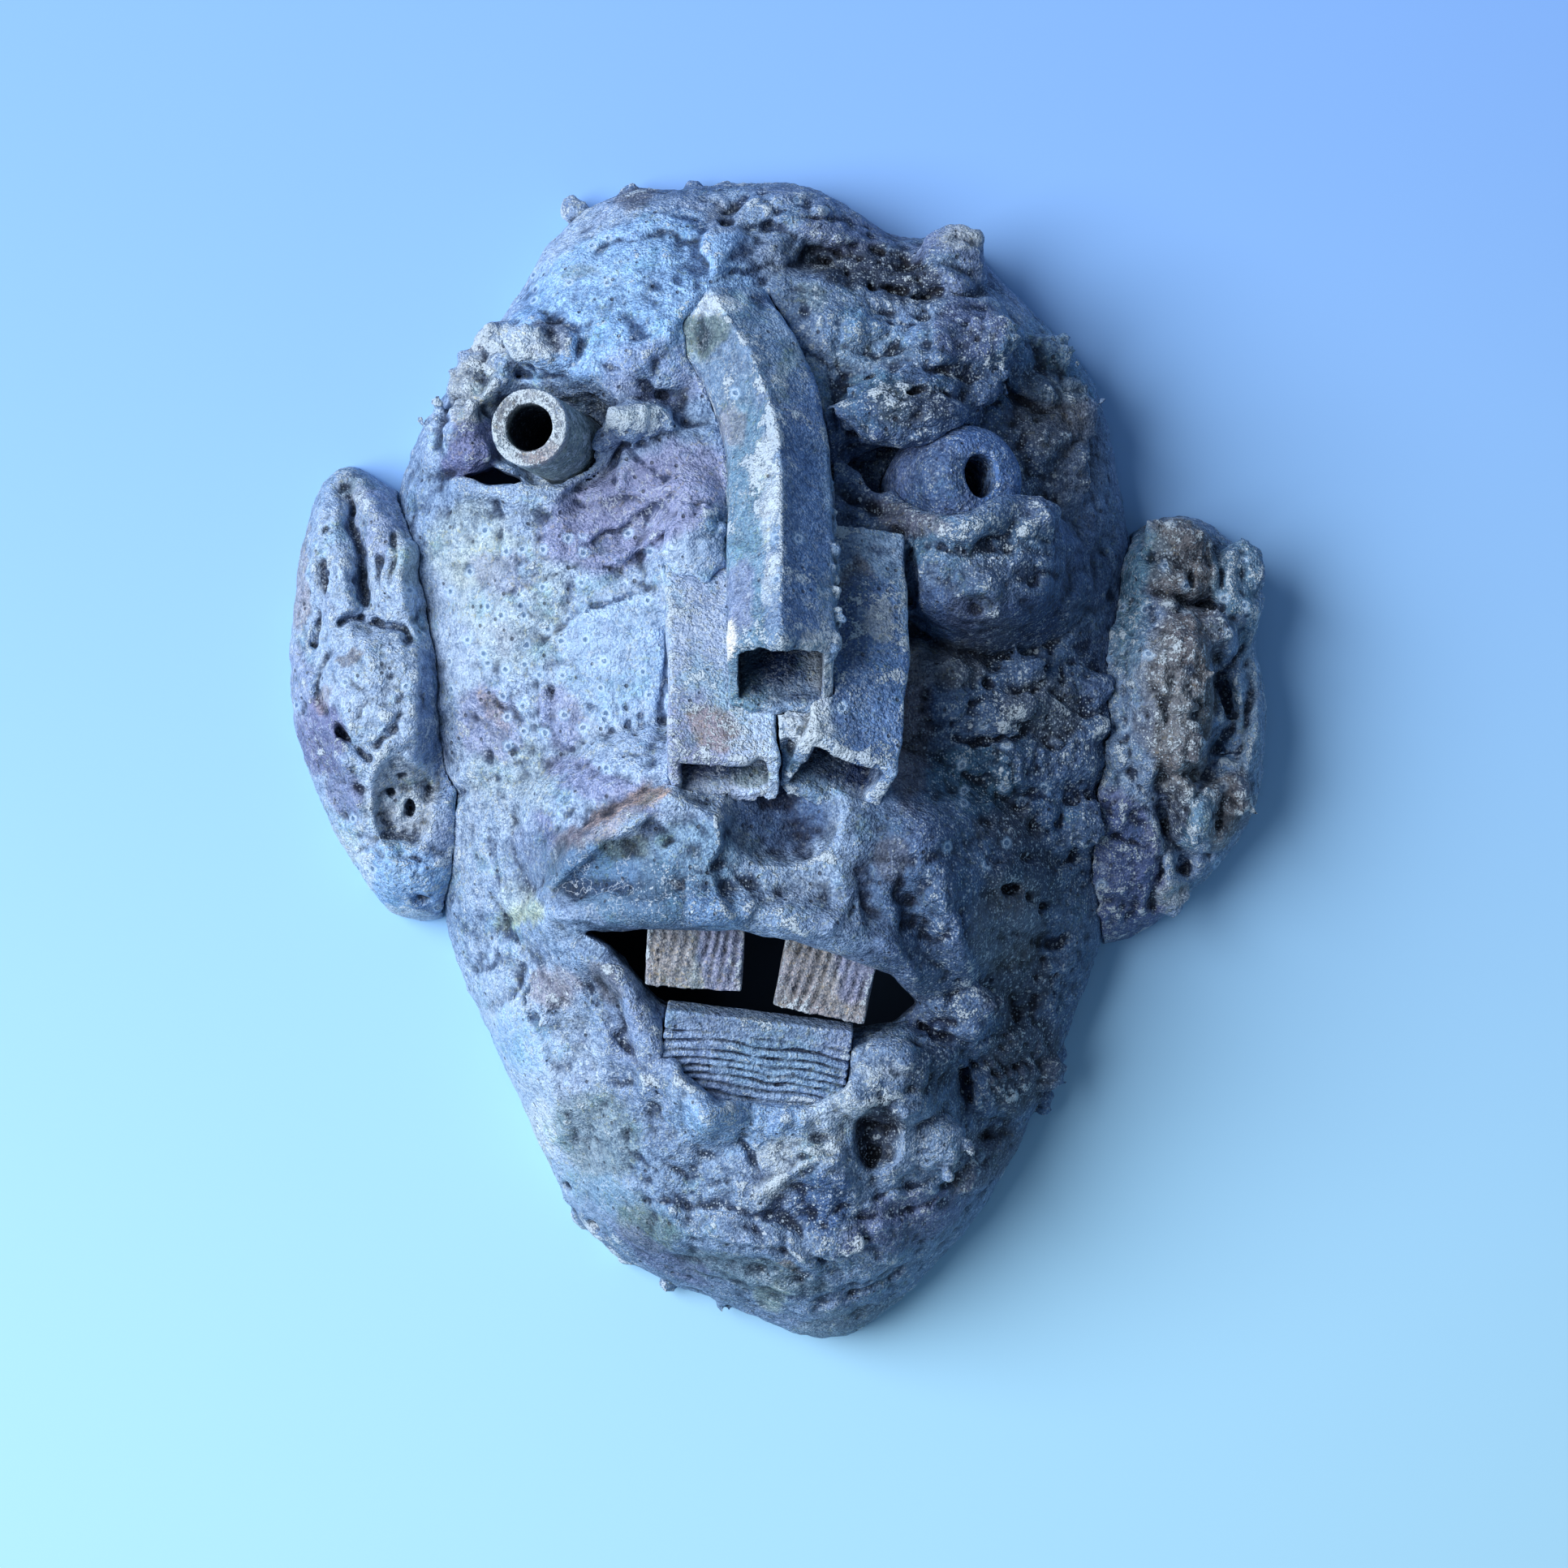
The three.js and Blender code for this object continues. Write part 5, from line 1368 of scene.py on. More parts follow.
# Where white salt covers the clay in broken patches.
FACE_SALT = [
    Zone((-84, 132), (16, 6), 1, -14), Zone((-97, 122), (8, 8), 0.8), Zone((-45, 106), (12, 5), 1, 8),
    Zone((64, 70), (20, 5), 0.4), Zone((77, 76), (6, 5), 0.6), Zone((40, 112), (20, 5), 0.4),
    Zone((6, -121), (16, 5), 0.7, 10), Zone((-3, -133), (9, 5), 0.7, 50),
    Zone((30, -104), (16, 4), 0.5, 10), Zone((-58, -156), (16, 7), 0.9, -30),
    Zone((-84, -120), (6, 24), 0.7, 28), Zone((40, -140), (20, 4), 0.4), Zone((-66, 180), (12, 5), 0.6, 40),
    Zone((6, 180), (24, 5), 0.4), Zone((66, 12), (14, 8), 0.45), Zone((82, 14), (12, 7), 0.4),
    Zone((101, 11), (8, 7), 0.4), Zone((22, -62), (24, 4), 0.4, -16), Zone((14, -34), (12, 8), 0.4),
    Zone((58, -70), (8, 14), 0.4, -20), Zone((-104, -40), (6, 26), 0.5, 8),
    Zone((60, 122), (14, 4), 0.5, 16), Zone((72, 150), (14, 4), 0.4, -50),
    Zone((66, -108), (20, 5), 0.4, 10),
]
# Where the clay is painted darker, as painted shade: mostly on the side away from the lamp, and in some
# hollows and under overhangs.
FACE_PAINTED_SHADE = [
    Zone((86, 10), (58, 100), 0.95), Zone((74, -74), (56, 76), 0.9), Zone((64, 104), (50, 40), 1),
    Zone((48, -44), (30, 50), 1, 10), Zone((30, 150), (50, 30), 0.5), Zone((40, -150), (50, 50), 0.4),
    Zone((-4, 184), (50, 14), 0.25), Zone((26, 60), (30, 50), 0.8), Zone((-50, -38), (42, 16), 0.85, -16),
    Zone((-20, -160), (50, 26), 0.3, -10), Zone((-66, 106), (20, 18), 0.6), Zone((1, -16), (15, 12), 0.7),
]
# How much darker the painted shade makes the clay, in red, green and blue, and how dark the painted shade
# inside a tube is.
PAINTED_SHADE_FACTORS = (0.72, 0.64, 0.54)
SHADOWED = (0.95, 0.91, 0.82)


def clay_grit(points, crumbly, smoothed, seed):
    """Lumps, crumbs and pits of rough clay, in millimetres along the surface's own direction."""
    x, y, z = points.T
    calm = 1 - 0.75 * smoothed
    lumps = 0.5 * noise(x, y, z, 9, seed) + 0.34 * noise(x, y, z, 4.4, seed + 1)
    fine = 0.3 * noise(x, y, z, 2.4, seed + 2)
    folded = np.abs(noise(x, y, z, 5.5, seed + 7)) + 0.5 * np.abs(noise(x, y, z, 2.8, seed + 8))
    creased = 1.3 * (0.35 - folded)
    crumbs = np.maximum(0, layered_noise(x, y, z, 4.2, seed + 3) - 0.2) * 2.2
    away, own = pock_marks(x, y, z, 5.5, seed + 4)
    pits = -0.8 * smooth((0.34 - away) / 0.2) * (own > 0.8)
    rough = 0.5 * crumbs - 0.5 * creased
    return calm * (lumps + fine) + crumbly * (rough + pits) + 0.1 * noise(x, y, z, 1.4, seed + 5)


def paint_stains(points, base, stains, seed):
    """Colour of each point: the base, with stains whose edges wander; a few of the stains are painted shade.
    """
    x, y, z = points.T
    wide_x = x + 4 * layered_noise(x, y, z, 16, seed) + 1.6 * layered_noise(x, y, z, 4, seed + 3)
    wide_y = y + 4 * layered_noise(x, y, z, 16, seed + 7) + 1.6 * layered_noise(x, y, z, 4, seed + 9)
    colour = np.tile(np.array(base), (len(points), 1))
    drift = layered_noise(x, y, z, 22, seed + 11)[:, None]
    colour = colour + np.maximum(drift, 0) * 0.5 * (np.array(PALE_BLUE) - colour)
    colour = colour + np.maximum(-drift, 0) * 0.6 * (np.array(MAUVE) - colour)
    for stain in stains:
        share = blob_share(stain.at, stain.size, stain.turn, wide_x, wide_y)
        share = stain.strength * smooth(1.5 * share)[:, None]
        colour = colour + share * (np.array(stain.colour) - colour)
    return colour


def salted(zones, points, seed):
    """Salt in zones, broken into patches."""
    x, y, z = points.T
    return spread(zones, x, y) * np.clip(0.45 + 1.1 * layered_noise(x, y, z, 5, seed), 0, 0.9)


def edge_crust(points, hollow, seed):
    """White crust on edges and high places, broken up."""
    x, y, z = points.T
    broken = 0.5 + 0.6 * layered_noise(x, y, z, 5, seed)
    return np.clip((-hollow - 0.05) * 2.2, 0, 1) * np.clip(broken, 0, 1)


class Recipe:
    """A node material put together step by step."""

    def __init__(self, name):
        self.material = bpy.data.materials.new(name)
        self.material.use_nodes = True
        self.tree = self.material.node_tree
        self.shader = self.tree.nodes["Principled BSDF"]
        place = self.node("ShaderNodeTexCoord").outputs["Object"]
        self.place = self.node("ShaderNodeVectorMath", {0: place, 3: 1 / MM}, operation="SCALE").outputs[0]

    def node(self, kind, inputs=None, **settings):
        made = self.tree.nodes.new(kind)
        for key, value in settings.items():
            setattr(made, key, value)
        for key, value in (inputs or {}).items():
            if isinstance(value, bpy.types.NodeSocket):
                self.tree.links.new(value, made.inputs[key])
            else:
                made.inputs[key].default_value = value
        return made

    def math(self, operation, a, b=0.0, c=0.0, clamp=False):
        inputs = {0: a, 1: b}
        if operation == "MULTIPLY_ADD":
            inputs[2] = c
        return self.node("ShaderNodeMath", inputs, operation=operation, use_clamp=clamp).outputs[0]

    def times(self, *values):
        """The product of the values."""
        product = values[0]
        for value in values[1:]:
            product = self.math("MULTIPLY", product, value)
        return product

    def raised(self, height, value, amount):
        """The height, with some of a value on top."""
        return self.math("MULTIPLY_ADD", value, amount, height)

    def from_half(self, value):
        """How far a noise is from its middle."""
        return self.math("ABSOLUTE", self.math("SUBTRACT", value, 0.5))

    def ramp(self, value, low, high, start=0.0, end=1.0):
        inputs = {0: value, 1: low, 2: high, 3: start, 4: end}
        return self.node("ShaderNodeMapRange", inputs, interpolation_type="SMOOTHSTEP").outputs[0]

    def noise(self, cell, detail=3.0, roughness=0.6, stretch=None):
        place = self.place
        if stretch:
            place = self.node("ShaderNodeVectorMath", {0: place, 1: stretch}, operation="MULTIPLY").outputs[0]
        inputs = {"Vector": place, "Scale": 1 / cell, "Detail": detail, "Roughness": roughness}
        return self.node("ShaderNodeTexNoise", inputs).outputs["Fac"]

    def spots(self, cell, spread="3D"):
        """Distance to the nearest scattered spot, and that spot's own value."""
        inputs = {"Vector": self.place, "Scale": 1 / cell}
        made = self.node("ShaderNodeTexVoronoi", inputs, voronoi_dimensions=spread)
        own = self.node("ShaderNodeSeparateColor", {0: made.outputs["Color"]}).outputs[0]
        return made.outputs["Distance"], own

    def mix(self, share, first, second, blend="MIX"):
        made = self.node("ShaderNodeMix", data_type="RGBA", blend_type=blend)
        for index, value in ((0, share), (6, first), (7, second)):
            if isinstance(value, bpy.types.NodeSocket):
                self.tree.links.new(value, made.inputs[index])
            else:
                made.inputs[index].default_value = (*value, 1) if index else value
        return made.outputs[2]

    def tint(self, share, colour, factors):
        """The colour, multiplied by the factors in a share of the places."""
        return self.mix(share, colour, self.mix(1, colour, factors, "MULTIPLY"))

    def attribute(self, name):
        return self.node("ShaderNodeAttribute", attribute_name=name).outputs["Color"]

    def parts(self, name):
        """The three numbers that are kept in one colour attribute."""
        return self.node("ShaderNodeSeparateColor", {0: self.attribute(name)}).outputs[0:3]


Grains = namedtuple("Grains", "fine small middle wide crinkle")
PORE_CELL = 2.6
PORE_DARK = (0.04, 0.05, 0.08)
RING_CELL = 6.5
RING_HALO = (0.40, 0.64, 0.98)
RING_LINE = (0.60, 0.76, 0.94)
RING_DOT = (0.10, 0.19, 0.36)
SALT_GRAIN_CELL = 0.85
SALT_CRUMB_CELL = 1.9
SALT_COLOUR = (0.60, 0.74, 0.90)
FLAKE_CELL = 2.0
FLAKE_COLOUR = (0.74, 0.86, 0.97)
SCAB_DARK = (0.40, 0.50, 0.62)
SCAB_PALE = (0.72, 0.84, 0.94)
VEIN_COLOUR = (0.66, 0.76, 0.90)
FRESH_BREAK = (0.92, 0.94, 0.95)


def mottled(recipe, stain, grains, calm):
    """The piece's stains and painted shade, mottled and broken up by dark grains."""
    lighter = recipe.mix(1, stain, (1.10, 1.11, 1.12), "MULTIPLY")
    darker = recipe.mix(1, stain, (0.62, 0.67, 0.74), "MULTIPLY")
    both = recipe.mix(recipe.ramp(grains.middle, 0.34, 0.64), darker, lighter)
    colour = recipe.mix(recipe.math("MULTIPLY_ADD", calm, -0.7, 1.0), stain, both)
    colour = recipe.tint(recipe.ramp(grains.wide, 0.54, 0.70, 0, 0.5), colour, (1.08, 0.96, 0.96))
    colour = recipe.tint(recipe.ramp(grains.wide, 0.46, 0.32, 0, 0.8), colour, (0.74, 0.90, 0.88))
    dark = recipe.times(recipe.ramp(grains.fine, 0.58, 0.38), recipe.math("MULTIPLY_ADD", calm, -0.5, 0.65))
    return recipe.tint(dark, colour, (0.32, 0.38, 0.50))


def crinkled(recipe, colour, grains):
    """Fine creases painted dark as painted shade, with paler clay beside them as painted highlight, and brown
    freckles.
    """
    colour = recipe.tint(recipe.ramp(grains.crinkle, 0.035, 0.0, 0, 0.6), colour, (0.42, 0.50, 0.62))
    lifted = recipe.times(recipe.ramp(grains.crinkle, 0.03, 0.05),
                          recipe.ramp(grains.crinkle, 0.09, 0.06, 0, 0.7))
    colour = recipe.tint(lifted, colour, (1.34, 1.28, 1.22))
    freckled = recipe.times(recipe.ramp(grains.small, 0.56, 0.64),
                            recipe.ramp(grains.wide, 0.56, 0.46, 0, 0.75))
    return recipe.tint(freckled, colour, (1.02, 0.88, 0.62))


def pored(recipe, colour):
    """Small dark pores."""
    away, own = recipe.spots(PORE_CELL)
    pore = recipe.times(recipe.ramp(away, 0.30, 0.14), recipe.ramp(own, 0.86, 0.90))
    return recipe.mix(recipe.times(pore, 0.8), colour, PORE_DARK), pore


def ringed(recipe, colour, grains, rings):
    """Dark dots, each in a pale ring and a wider halo."""
    away, own = recipe.spots(RING_CELL, "2D")
    there = recipe.ramp(recipe.math("MULTIPLY_ADD", rings, 0.5, own), 0.98, 1.04)
    away = recipe.times(away, recipe.math("MULTIPLY_ADD", grains.small, 1.6, 0.4))
    halo = recipe.times(recipe.ramp(away, 0.46, 0.26), there, 0.35)
    colour = recipe.mix(halo, colour, RING_HALO)
    line = recipe.times(recipe.ramp(away, 0.14, 0.18), recipe.ramp(away, 0.28, 0.22), there, 0.6)
    colour = recipe.mix(line, colour, RING_LINE)
    dot = recipe.times(recipe.ramp(away, 0.15, 0.07), there)
    return recipe.mix(recipe.times(dot, 0.85), colour, RING_DOT), dot


def salted_over(recipe, colour, grains, crust, frost):
    """Fine white grains and crumbs of salt, and thick scabs where the crust is strong."""
    away, own = recipe.spots(SALT_GRAIN_CELL)
    fine = recipe.times(recipe.ramp(away, 0.50, 0.28), recipe.ramp(own, 0.40, 0.60))
    away, own = recipe.spots(SALT_CRUMB_CELL)
    crumbs = recipe.times(recipe.ramp(away, 0.38, 0.22), recipe.ramp(own, 0.74, 0.80))
    amount = recipe.times(recipe.ramp(grains.middle, 0.40, 0.62, 0.1, 1.0), frost)
    amount = recipe.math("MULTIPLY_ADD", crust, 0.6, amount, clamp=True)
    speckle = recipe.times(recipe.math("MAXIMUM", fine, crumbs), amount)
    colour = recipe.mix(recipe.times(speckle, 0.85), colour, SALT_COLOUR)

    broken = recipe.math("MULTIPLY_ADD", grains.fine, 0.45, recipe.times(grains.middle, 0.55))
    bound = recipe.math("MULTIPLY_ADD", crust, -0.40, 0.72)
    scab = recipe.ramp(recipe.math("SUBTRACT", broken, bound), 0.0, 0.06)
    pale = recipe.mix(grains.fine, SCAB_DARK, SCAB_PALE)
    return recipe.mix(recipe.times(scab, 0.8), colour, pale), speckle, scab


def flaked(recipe, colour, grains, frost, calm):
    """Bright flakes in the frosted places, and thin pale veins in the calm ones."""
    away, own = recipe.spots(FLAKE_CELL)
    flakes = recipe.times(recipe.ramp(own, 0.76, 0.80), recipe.ramp(grains.small, 0.46, 0.52),
                          recipe.ramp(grains.wide, 0.48, 0.62), frost, recipe.ramp(away, 0.5, 0.4), 0.8)
    colour = recipe.mix(flakes, colour, FLAKE_COLOUR)
    veins = recipe.times(recipe.ramp(recipe.from_half(grains.wide), 0.012, 0.003), calm, 0.5)
    return recipe.mix(veins, colour, VEIN_COLOUR)


def fired_clay(name, brush=0.0):
    """Rough fired clay: its own stains, pores, ringed dimples, hollows darkened partly by their own glaze and
    partly as painted shade, frost and a white salt crust.
    """
    recipe = Recipe(name)
    crust, hollow, fresh = recipe.parts("crust")
    rings, frost, calm = recipe.parts("zones")
    grains = Grains(recipe.noise(0.8, 2, 0.6), recipe.noise(1.6, 2, 0.6), recipe.noise(3.4, 3, 0.64),
                    recipe.noise(15, 4, 0.66), recipe.from_half(recipe.noise(5, 3, 0.62)))

    colour = mottled(recipe, recipe.attribute("stain"), grains, calm)
    colour = crinkled(recipe, colour, grains)
    colour, pore = pored(recipe, colour)
    colour, ring = ringed(recipe, colour, grains, rings)
    # Hollows are darkened, partly as the clay's own darker glaze and partly as painted shade.
    colour = recipe.tint(recipe.ramp(hollow, 0.08, 0.65, 0, 0.85), colour, (0.16, 0.22, 0.34))
    colour, speckle, scab = salted_over(recipe, colour, grains, crust, frost)
    colour = flaked(recipe, colour, grains, frost, calm)
    colour = recipe.mix(fresh, colour, FRESH_BREAK)
    recipe.tree.links.new(colour, recipe.shader.inputs["Base Color"])

    height = recipe.times(grains.fine, 0.45)
    for value, amount in ((grains.small, 0.35), (grains.middle, 0.6),
                          (recipe.math("MINIMUM", grains.crinkle, 0.12), 3.0),
                          (scab, 0.35), (speckle, 0.3), (pore, -0.6), (ring, -0.2)):
        height = recipe.raised(height, value, amount)
    if brush:
        height = recipe.raised(height, recipe.noise(1.2, 2, 0.5, (0.25, 1, 1)), brush)
    bump = recipe.node("ShaderNodeBump", {"Strength": 0.9, "Distance": 1.2 * MM, "Height": height})
    recipe.tree.links.new(bump.outputs[0], recipe.shader.inputs["Normal"])

    rough = recipe.ramp(grains.middle, 0.3, 0.7, 0.58, 0.9)
    recipe.tree.links.new(rough, recipe.shader.inputs["Roughness"])
    recipe.shader.inputs["Specular IOR Level"].default_value = 0.35
    return recipe.material


FACE_BITS = [
    Bit("knob on the crown", (56, 160), (11.5, 11.5, 9), -4),
    Bit("outer brow lump", (-97, 121), (8, 10, 6), -2.5, 20),
    Bit("brow lump", (-87, 135), (9, 6, 6), -2.5, 10),
    Bit("second brow lump", (-79, 131), (8, 6, 6), -2.5, -10),
    Bit("inner brow lump", (-73, 128), (6, 5, 5), -2),
    Bit("fold under the brow", (-88, 124), (5, 4, 4), -1.5),
    Bit("lump above the temple", (-93, 112), (7, 7, 6), -3),
    Bit("temple", (-99, 102), (8, 13, 9), -4, 10),
    Bit("outer side of the temple", (-108, 104), (5.5, 10, 6), -3),
    Bit("start of the crust", (-53, 101), (6, 3.2, 4), -2, 44),
    Bit("corner of the crust", (-49, 106), (4.5, 3.6, 4), -1.5, 20),
    Bit("crust on the flap", (-44, 104), (6, 3.4, 4.5), -1.5, 60),
    Bit("top of the crust", (-42, 108), (5, 3, 4), -1.5, -14),
    Bit("end of the crust", (-36, 106), (5, 3, 3), -1.5, -40),
    Bit("upper lid", (36, 107), (17, 9, 11), -6, -4),
    Bit("upper lid, outer part", (48, 106), (11, 7, 9), -5, 8),
    Bit("roll above the lid", (30, 114), (11, 5, 6), -2, 24),
    Bit("fold beside the lid", (60, 113), (12, 5, 6), -2.5, 28),
    Bit("fold above the lid", (57, 123), (11, 5, 5), -2, 10),
    Bit("right brow", (66, 131), (10, 8, 4), -2, 20),
    Bit("ramp above the nostril", (-26, 66), (10, 13, 5), 0),
    Bit("bump on the right cheek", (52, 17), (6.5, 5.5, 4), -1.5),
    Bit("second bump", (55, 27), (5, 4.5, 3), -1),
    Bit("third bump", (45, 26), (4, 4, 2.5), -1),
    Bit("crusted bump", (66, 13), (9, 6, 4), -1, -10),
    Bit("second crusted bump", (77, 17), (5, 4, 3), -1, 20),
    Bit("third crusted bump", (101, 11), (5, 4, 3), -1),
    Bit("bump by the cheek", (76, 28), (7, 5, 4), -1),
    Bit("corner of the cheek", (77, 73), (10, 7, 7), -3, 30),
    Bit("bump by the ear", (100, 22), (8, 5, 4), -1, 20),
    Bit("end of the lip", (60, -77), (9, 8, 7), -3),
    Bit("lump below the mouth", (34, -96), (14, 10, 9), -4, 10),
    Bit("second lump below the mouth", (45, -93), (8, 8, 7), -4),
    Bit("slab on the chin", (47, -118), (13, 10, 7), -4, -20),
    Bit("lump on the jaw", (86, -100), (7, 8, 5), -2, 30),
    Bit("lump on the chin line", (56, -134), (9, 5, 4), -1.5, 30),
    Bit("crusted ledge", (-8, -134), (8, 4, 4), -2, -50),
    Bit("lump on the left jaw", (-70, -75), (9, 8, 4), -2),
    Bit("lump by the right ear", (97, -20), (7, 8, 4), -1.5),
    Bit("lump beside the left ear", (-118, 60), (5, 16, 6), -3.5),
    Bit("lump under the chin plate", (16, -150), (10, 6, 4), -2),
    Bit("lump on the right temple", (84, 128), (12, 9, 4), -2, 40),
    Bit("second lump on the right temple", (95, 110), (8, 11, 5), -2, 10),
    Bit("fold at the side of the eye", (92, 90), (7, 11, 5), -2, -10),
]
RIM_BITS = [
    Bit("crumb on the crown", (-67, 181.5), (4.4, 4.4, 8), 7),
    Bit("white crumb on the crown", (-48, 186), (3.6, 3.6, 7), 8),
    Bit("small crumb", (-28, 188), (3, 2.4, 5), 7),
    Bit("second small crumb", (-17, 188), (3, 2.4, 5), 7),
    Bit("burr on the jaw", (-63, -149), (5, 4.5, 8), 6),
    Bit("second burr on the jaw", (-66, -143), (4, 4, 6), 8),
    Bit("white crumb on the jaw", (-54, -156), (3, 4, 6), 6),
    Bit("second white crumb", (-48, -163), (4.5, 3.4, 6), 6),
    Bit("crumb below the jaw", (-36, -172), (3, 2.6, 4), 5),
    Bit("crumb on the chin", (-17, -178), (3, 4, 6), 8),
    Bit("crumb on the right jaw", (86, -110), (4, 6, 8), 9),
    Bit("second crumb on the right jaw", (90, -96), (4, 5, 8), 10),
]
FACE_HOLES = [
    Bit("left eye socket", (-72, 101), (20, 17, 21), 5, -10),
    Bit("right eye socket", (44, 90), (26, 10, 17), 3),
    Bit("inner corner of the right eye", (31, 90), (10, 7, 13), 0, -20),
    Bit("gap beside the nostril", (41, 55), (2.6, 12, 12), -2),
    Bit("pore on the forehead", (22, 156), (1.8, 2.6, 5), 0),
    Bit("second pore", (30, 151), (2, 2.6, 5), 0),
    Bit("crack in the crease", (37, 150), (6, 2, 6), 0, -10),
    Bit("second crack in the crease", (47, 148), (6, 2, 5), 0, 20),
    Bit("pore above the crease", (16, 160), (2, 1.6, 4), 0),
    Bit("hole in the right cheek", (73, -40), (6, 2.4, 6), 0, -10),
    Bit("second hole in the right cheek", (85, -46), (5, 2.6, 5), 0, 10),
    Bit("third hole in the right cheek", (79, -43), (3, 1.6, 4), 0, -30),
    Bit("crack on the crown", (-16, 172), (3, 2, 5), 0, 40),
    Bit("hole above the crust", (-36, 114.5), (2.4, 1, 3), 0),
    Bit("hole in the cheek crust", (66, 24), (2.4, 3, 4), 0, 30),
    Bit("hollow below the mouth", (48, -90), (5, 5, 4), -1),
    Bit("crack in the jaw", (60, -103), (2, 8, 5), 0, 10),
    Bit("hole beside the bridge", (23, 101), (3, 2.4, 5), 0),
    Bit("hollow under the cheek", (58, 46), (11, 4, 4), 1, 10),
    Bit("notch in the left rim", (-69, -138), (3, 2, 5), -1),
    Bit("second notch in the left rim", (-60, -151), (3, 2, 6), -1, -30),
    Bit("notch in the chin", (-16, -180), (2.5, 3, 6), 0),
    Bit("dent above the tooth", (-33, -25), (3, 1.2, 2), 0, 30),
    Bit("pore on the lid", (43, 114), (4, 1.2, 3), 0, 20),
]
RIGHT_LID = [(20, 91), (33, 82), (42, 75), (57, 70), (70, 77), (84, 76)]
LEFT_LID = [(-101, 87), (-86, 85), (-72, 84)]


def on_top(height, x, y, lift):
    """A point above or below the place that a height map gives there."""
    return (x, y, float(height(np.array([[x]], float), np.array([[y]], float))[0, 0]) + lift)


def bit_on(height, bit):
    return blob(on_top(height, *bit.at, bit.lift), bit.size, bit.turn)


def free_bit(bit):
    return blob((*bit.at, bit.lift), bit.size, bit.turn)


def nail_notch():
    """The notch inside the crown, 30 wide and 16 high, that a nail goes into."""
    def distance(x, y, z):
        return brick(x + 4, y - 178.5, z - 13, (-15, -6, -8), (15, 6, 8), 0.5)

    return Shape((-19, 172, 5), (11, 185, 21), distance)


def face_clay():
    clay = Clay((-130, -195, -2.5), (124, 195, 124), FACE_PITCH)
    x, y = clay.plan()
    under = hollow_height(x, y)
    ragged = 1.1 * layered_noise(x, y, 0, 6, 31) + 0.5
    clay.fill_relief(face_height(x, y), face_outline.edge(x, y) + ragged)
    for bit in FACE_BITS:
        clay.add(bit_on(face_height, bit), 2.0)
    for lid, radius, depth in ((RIGHT_LID, 4, -2), (LEFT_LID, 3, -1)):
        clay.add(coil([on_top(face_height, *at, depth) for at in lid], radius), 3)
    for bit in RIM_BITS:
        clay.add(free_bit(bit), 1.5)

    keep = under + LINING
    for hole in FACE_HOLES:
        clay.cut(bit_on(face_height, hole), 1.4, keep)
    clay.trim_below(under, clay.slope(under))
    clay.cut(pillar(MOUTH, -3, 130), 3.2)
    clay.cut(pillar(EYE_GAP, -3, 130), 1.5)
    clay.cut(above_block(), 2.0)
    clay.cut(eye_tube(EYE_TUBE_RADIUS + SEAM, -30, EYE_TUBE_LENGTH + 20), 0.5)
    clay.cut(eye_cone(SEAM), 0.5)
    clay.cut(eye_cone_bore(), 0.5)
    for tube in (BRIDGE, LEFT_NOSTRIL, RIGHT_NOSTRIL):
        clay.cut(tube.shape(TUBE_SEAM), 0.3, keep)
    for shape in (layered_block(SEAM), tooth(LEFT_TOOTH, SEAM), tooth(RIGHT_TOOTH, SEAM), nail_notch()):
        clay.cut(shape, 0.5)
    return clay


def face_grit(points):
    """Rough clay outside, plainer clay inside, and a rim that stands even on the table."""
    x, y, z = points.T
    outer = smooth((z - hollow_height(x, y) - 2.5) / 2.5)
    crumbly = spread(FACE_CRUMBS, x, y)
    smoothed = spread(FACE_SMOOTH, x, y)
    rough = clay_grit(points, crumbly, smoothed, 100)
    plain = 0.35 * noise(x, y, z, 14, 90)
    on_table = smooth((z - 0.5) / 3)
    return (outer * rough + (1 - outer) * plain) * on_table


def face_paint(points, hollow):
    x, y, z = points.T
    outer = smooth((z - hollow_height(x, y) - 1.5) / 2.5)
    stain = paint_stains(points, BLUE_GREY, FACE_STAINS_AND_SHADE, 300)
    # Painted shade: the side away from the lamp and some hollows are painted darker, and carry less crust.
    dark = spread(FACE_PAINTED_SHADE, x, y)
    stain = stain * (1 - dark[:, None] * np.array(PAINTED_SHADE_FACTORS))
    # The inside of the shell is painted nearly black, as painted shade.
    stain = stain + (1 - outer)[:, None] * (np.array(MAUVE) * 0.15 - stain)
    crust = 0.75 * edge_crust(points, hollow, 330) + 0.15 * spread(FACE_CRUMBS, x, y)
    rim = smooth((14 - z) / 8) * smooth((-20 - x) / 40)
    crust = (crust + 0.5 * rim) * outer * (1 - 0.4 * spread(FACE_SMOOTH, x, y)) * (1 - 0.45 * dark)
    crust = crust + salted(FACE_SALT, points, 340) * outer
    frost = (0.12 + spread(FACE_FROST, x, y)) * outer
    return Coat(stain, np.clip(crust, 0, 1), np.zeros(len(points)), spread(FACE_RINGS, x, y), frost,
                spread(FACE_SMOOTH, x, y))


def plain_coat(stain, crust, rings=0.0, frost=0.3, calm=0.0):
    one = np.ones(len(stain))
    return Coat(stain, np.clip(crust, 0, 1), 0 * one, rings * one, frost * one, calm * one)


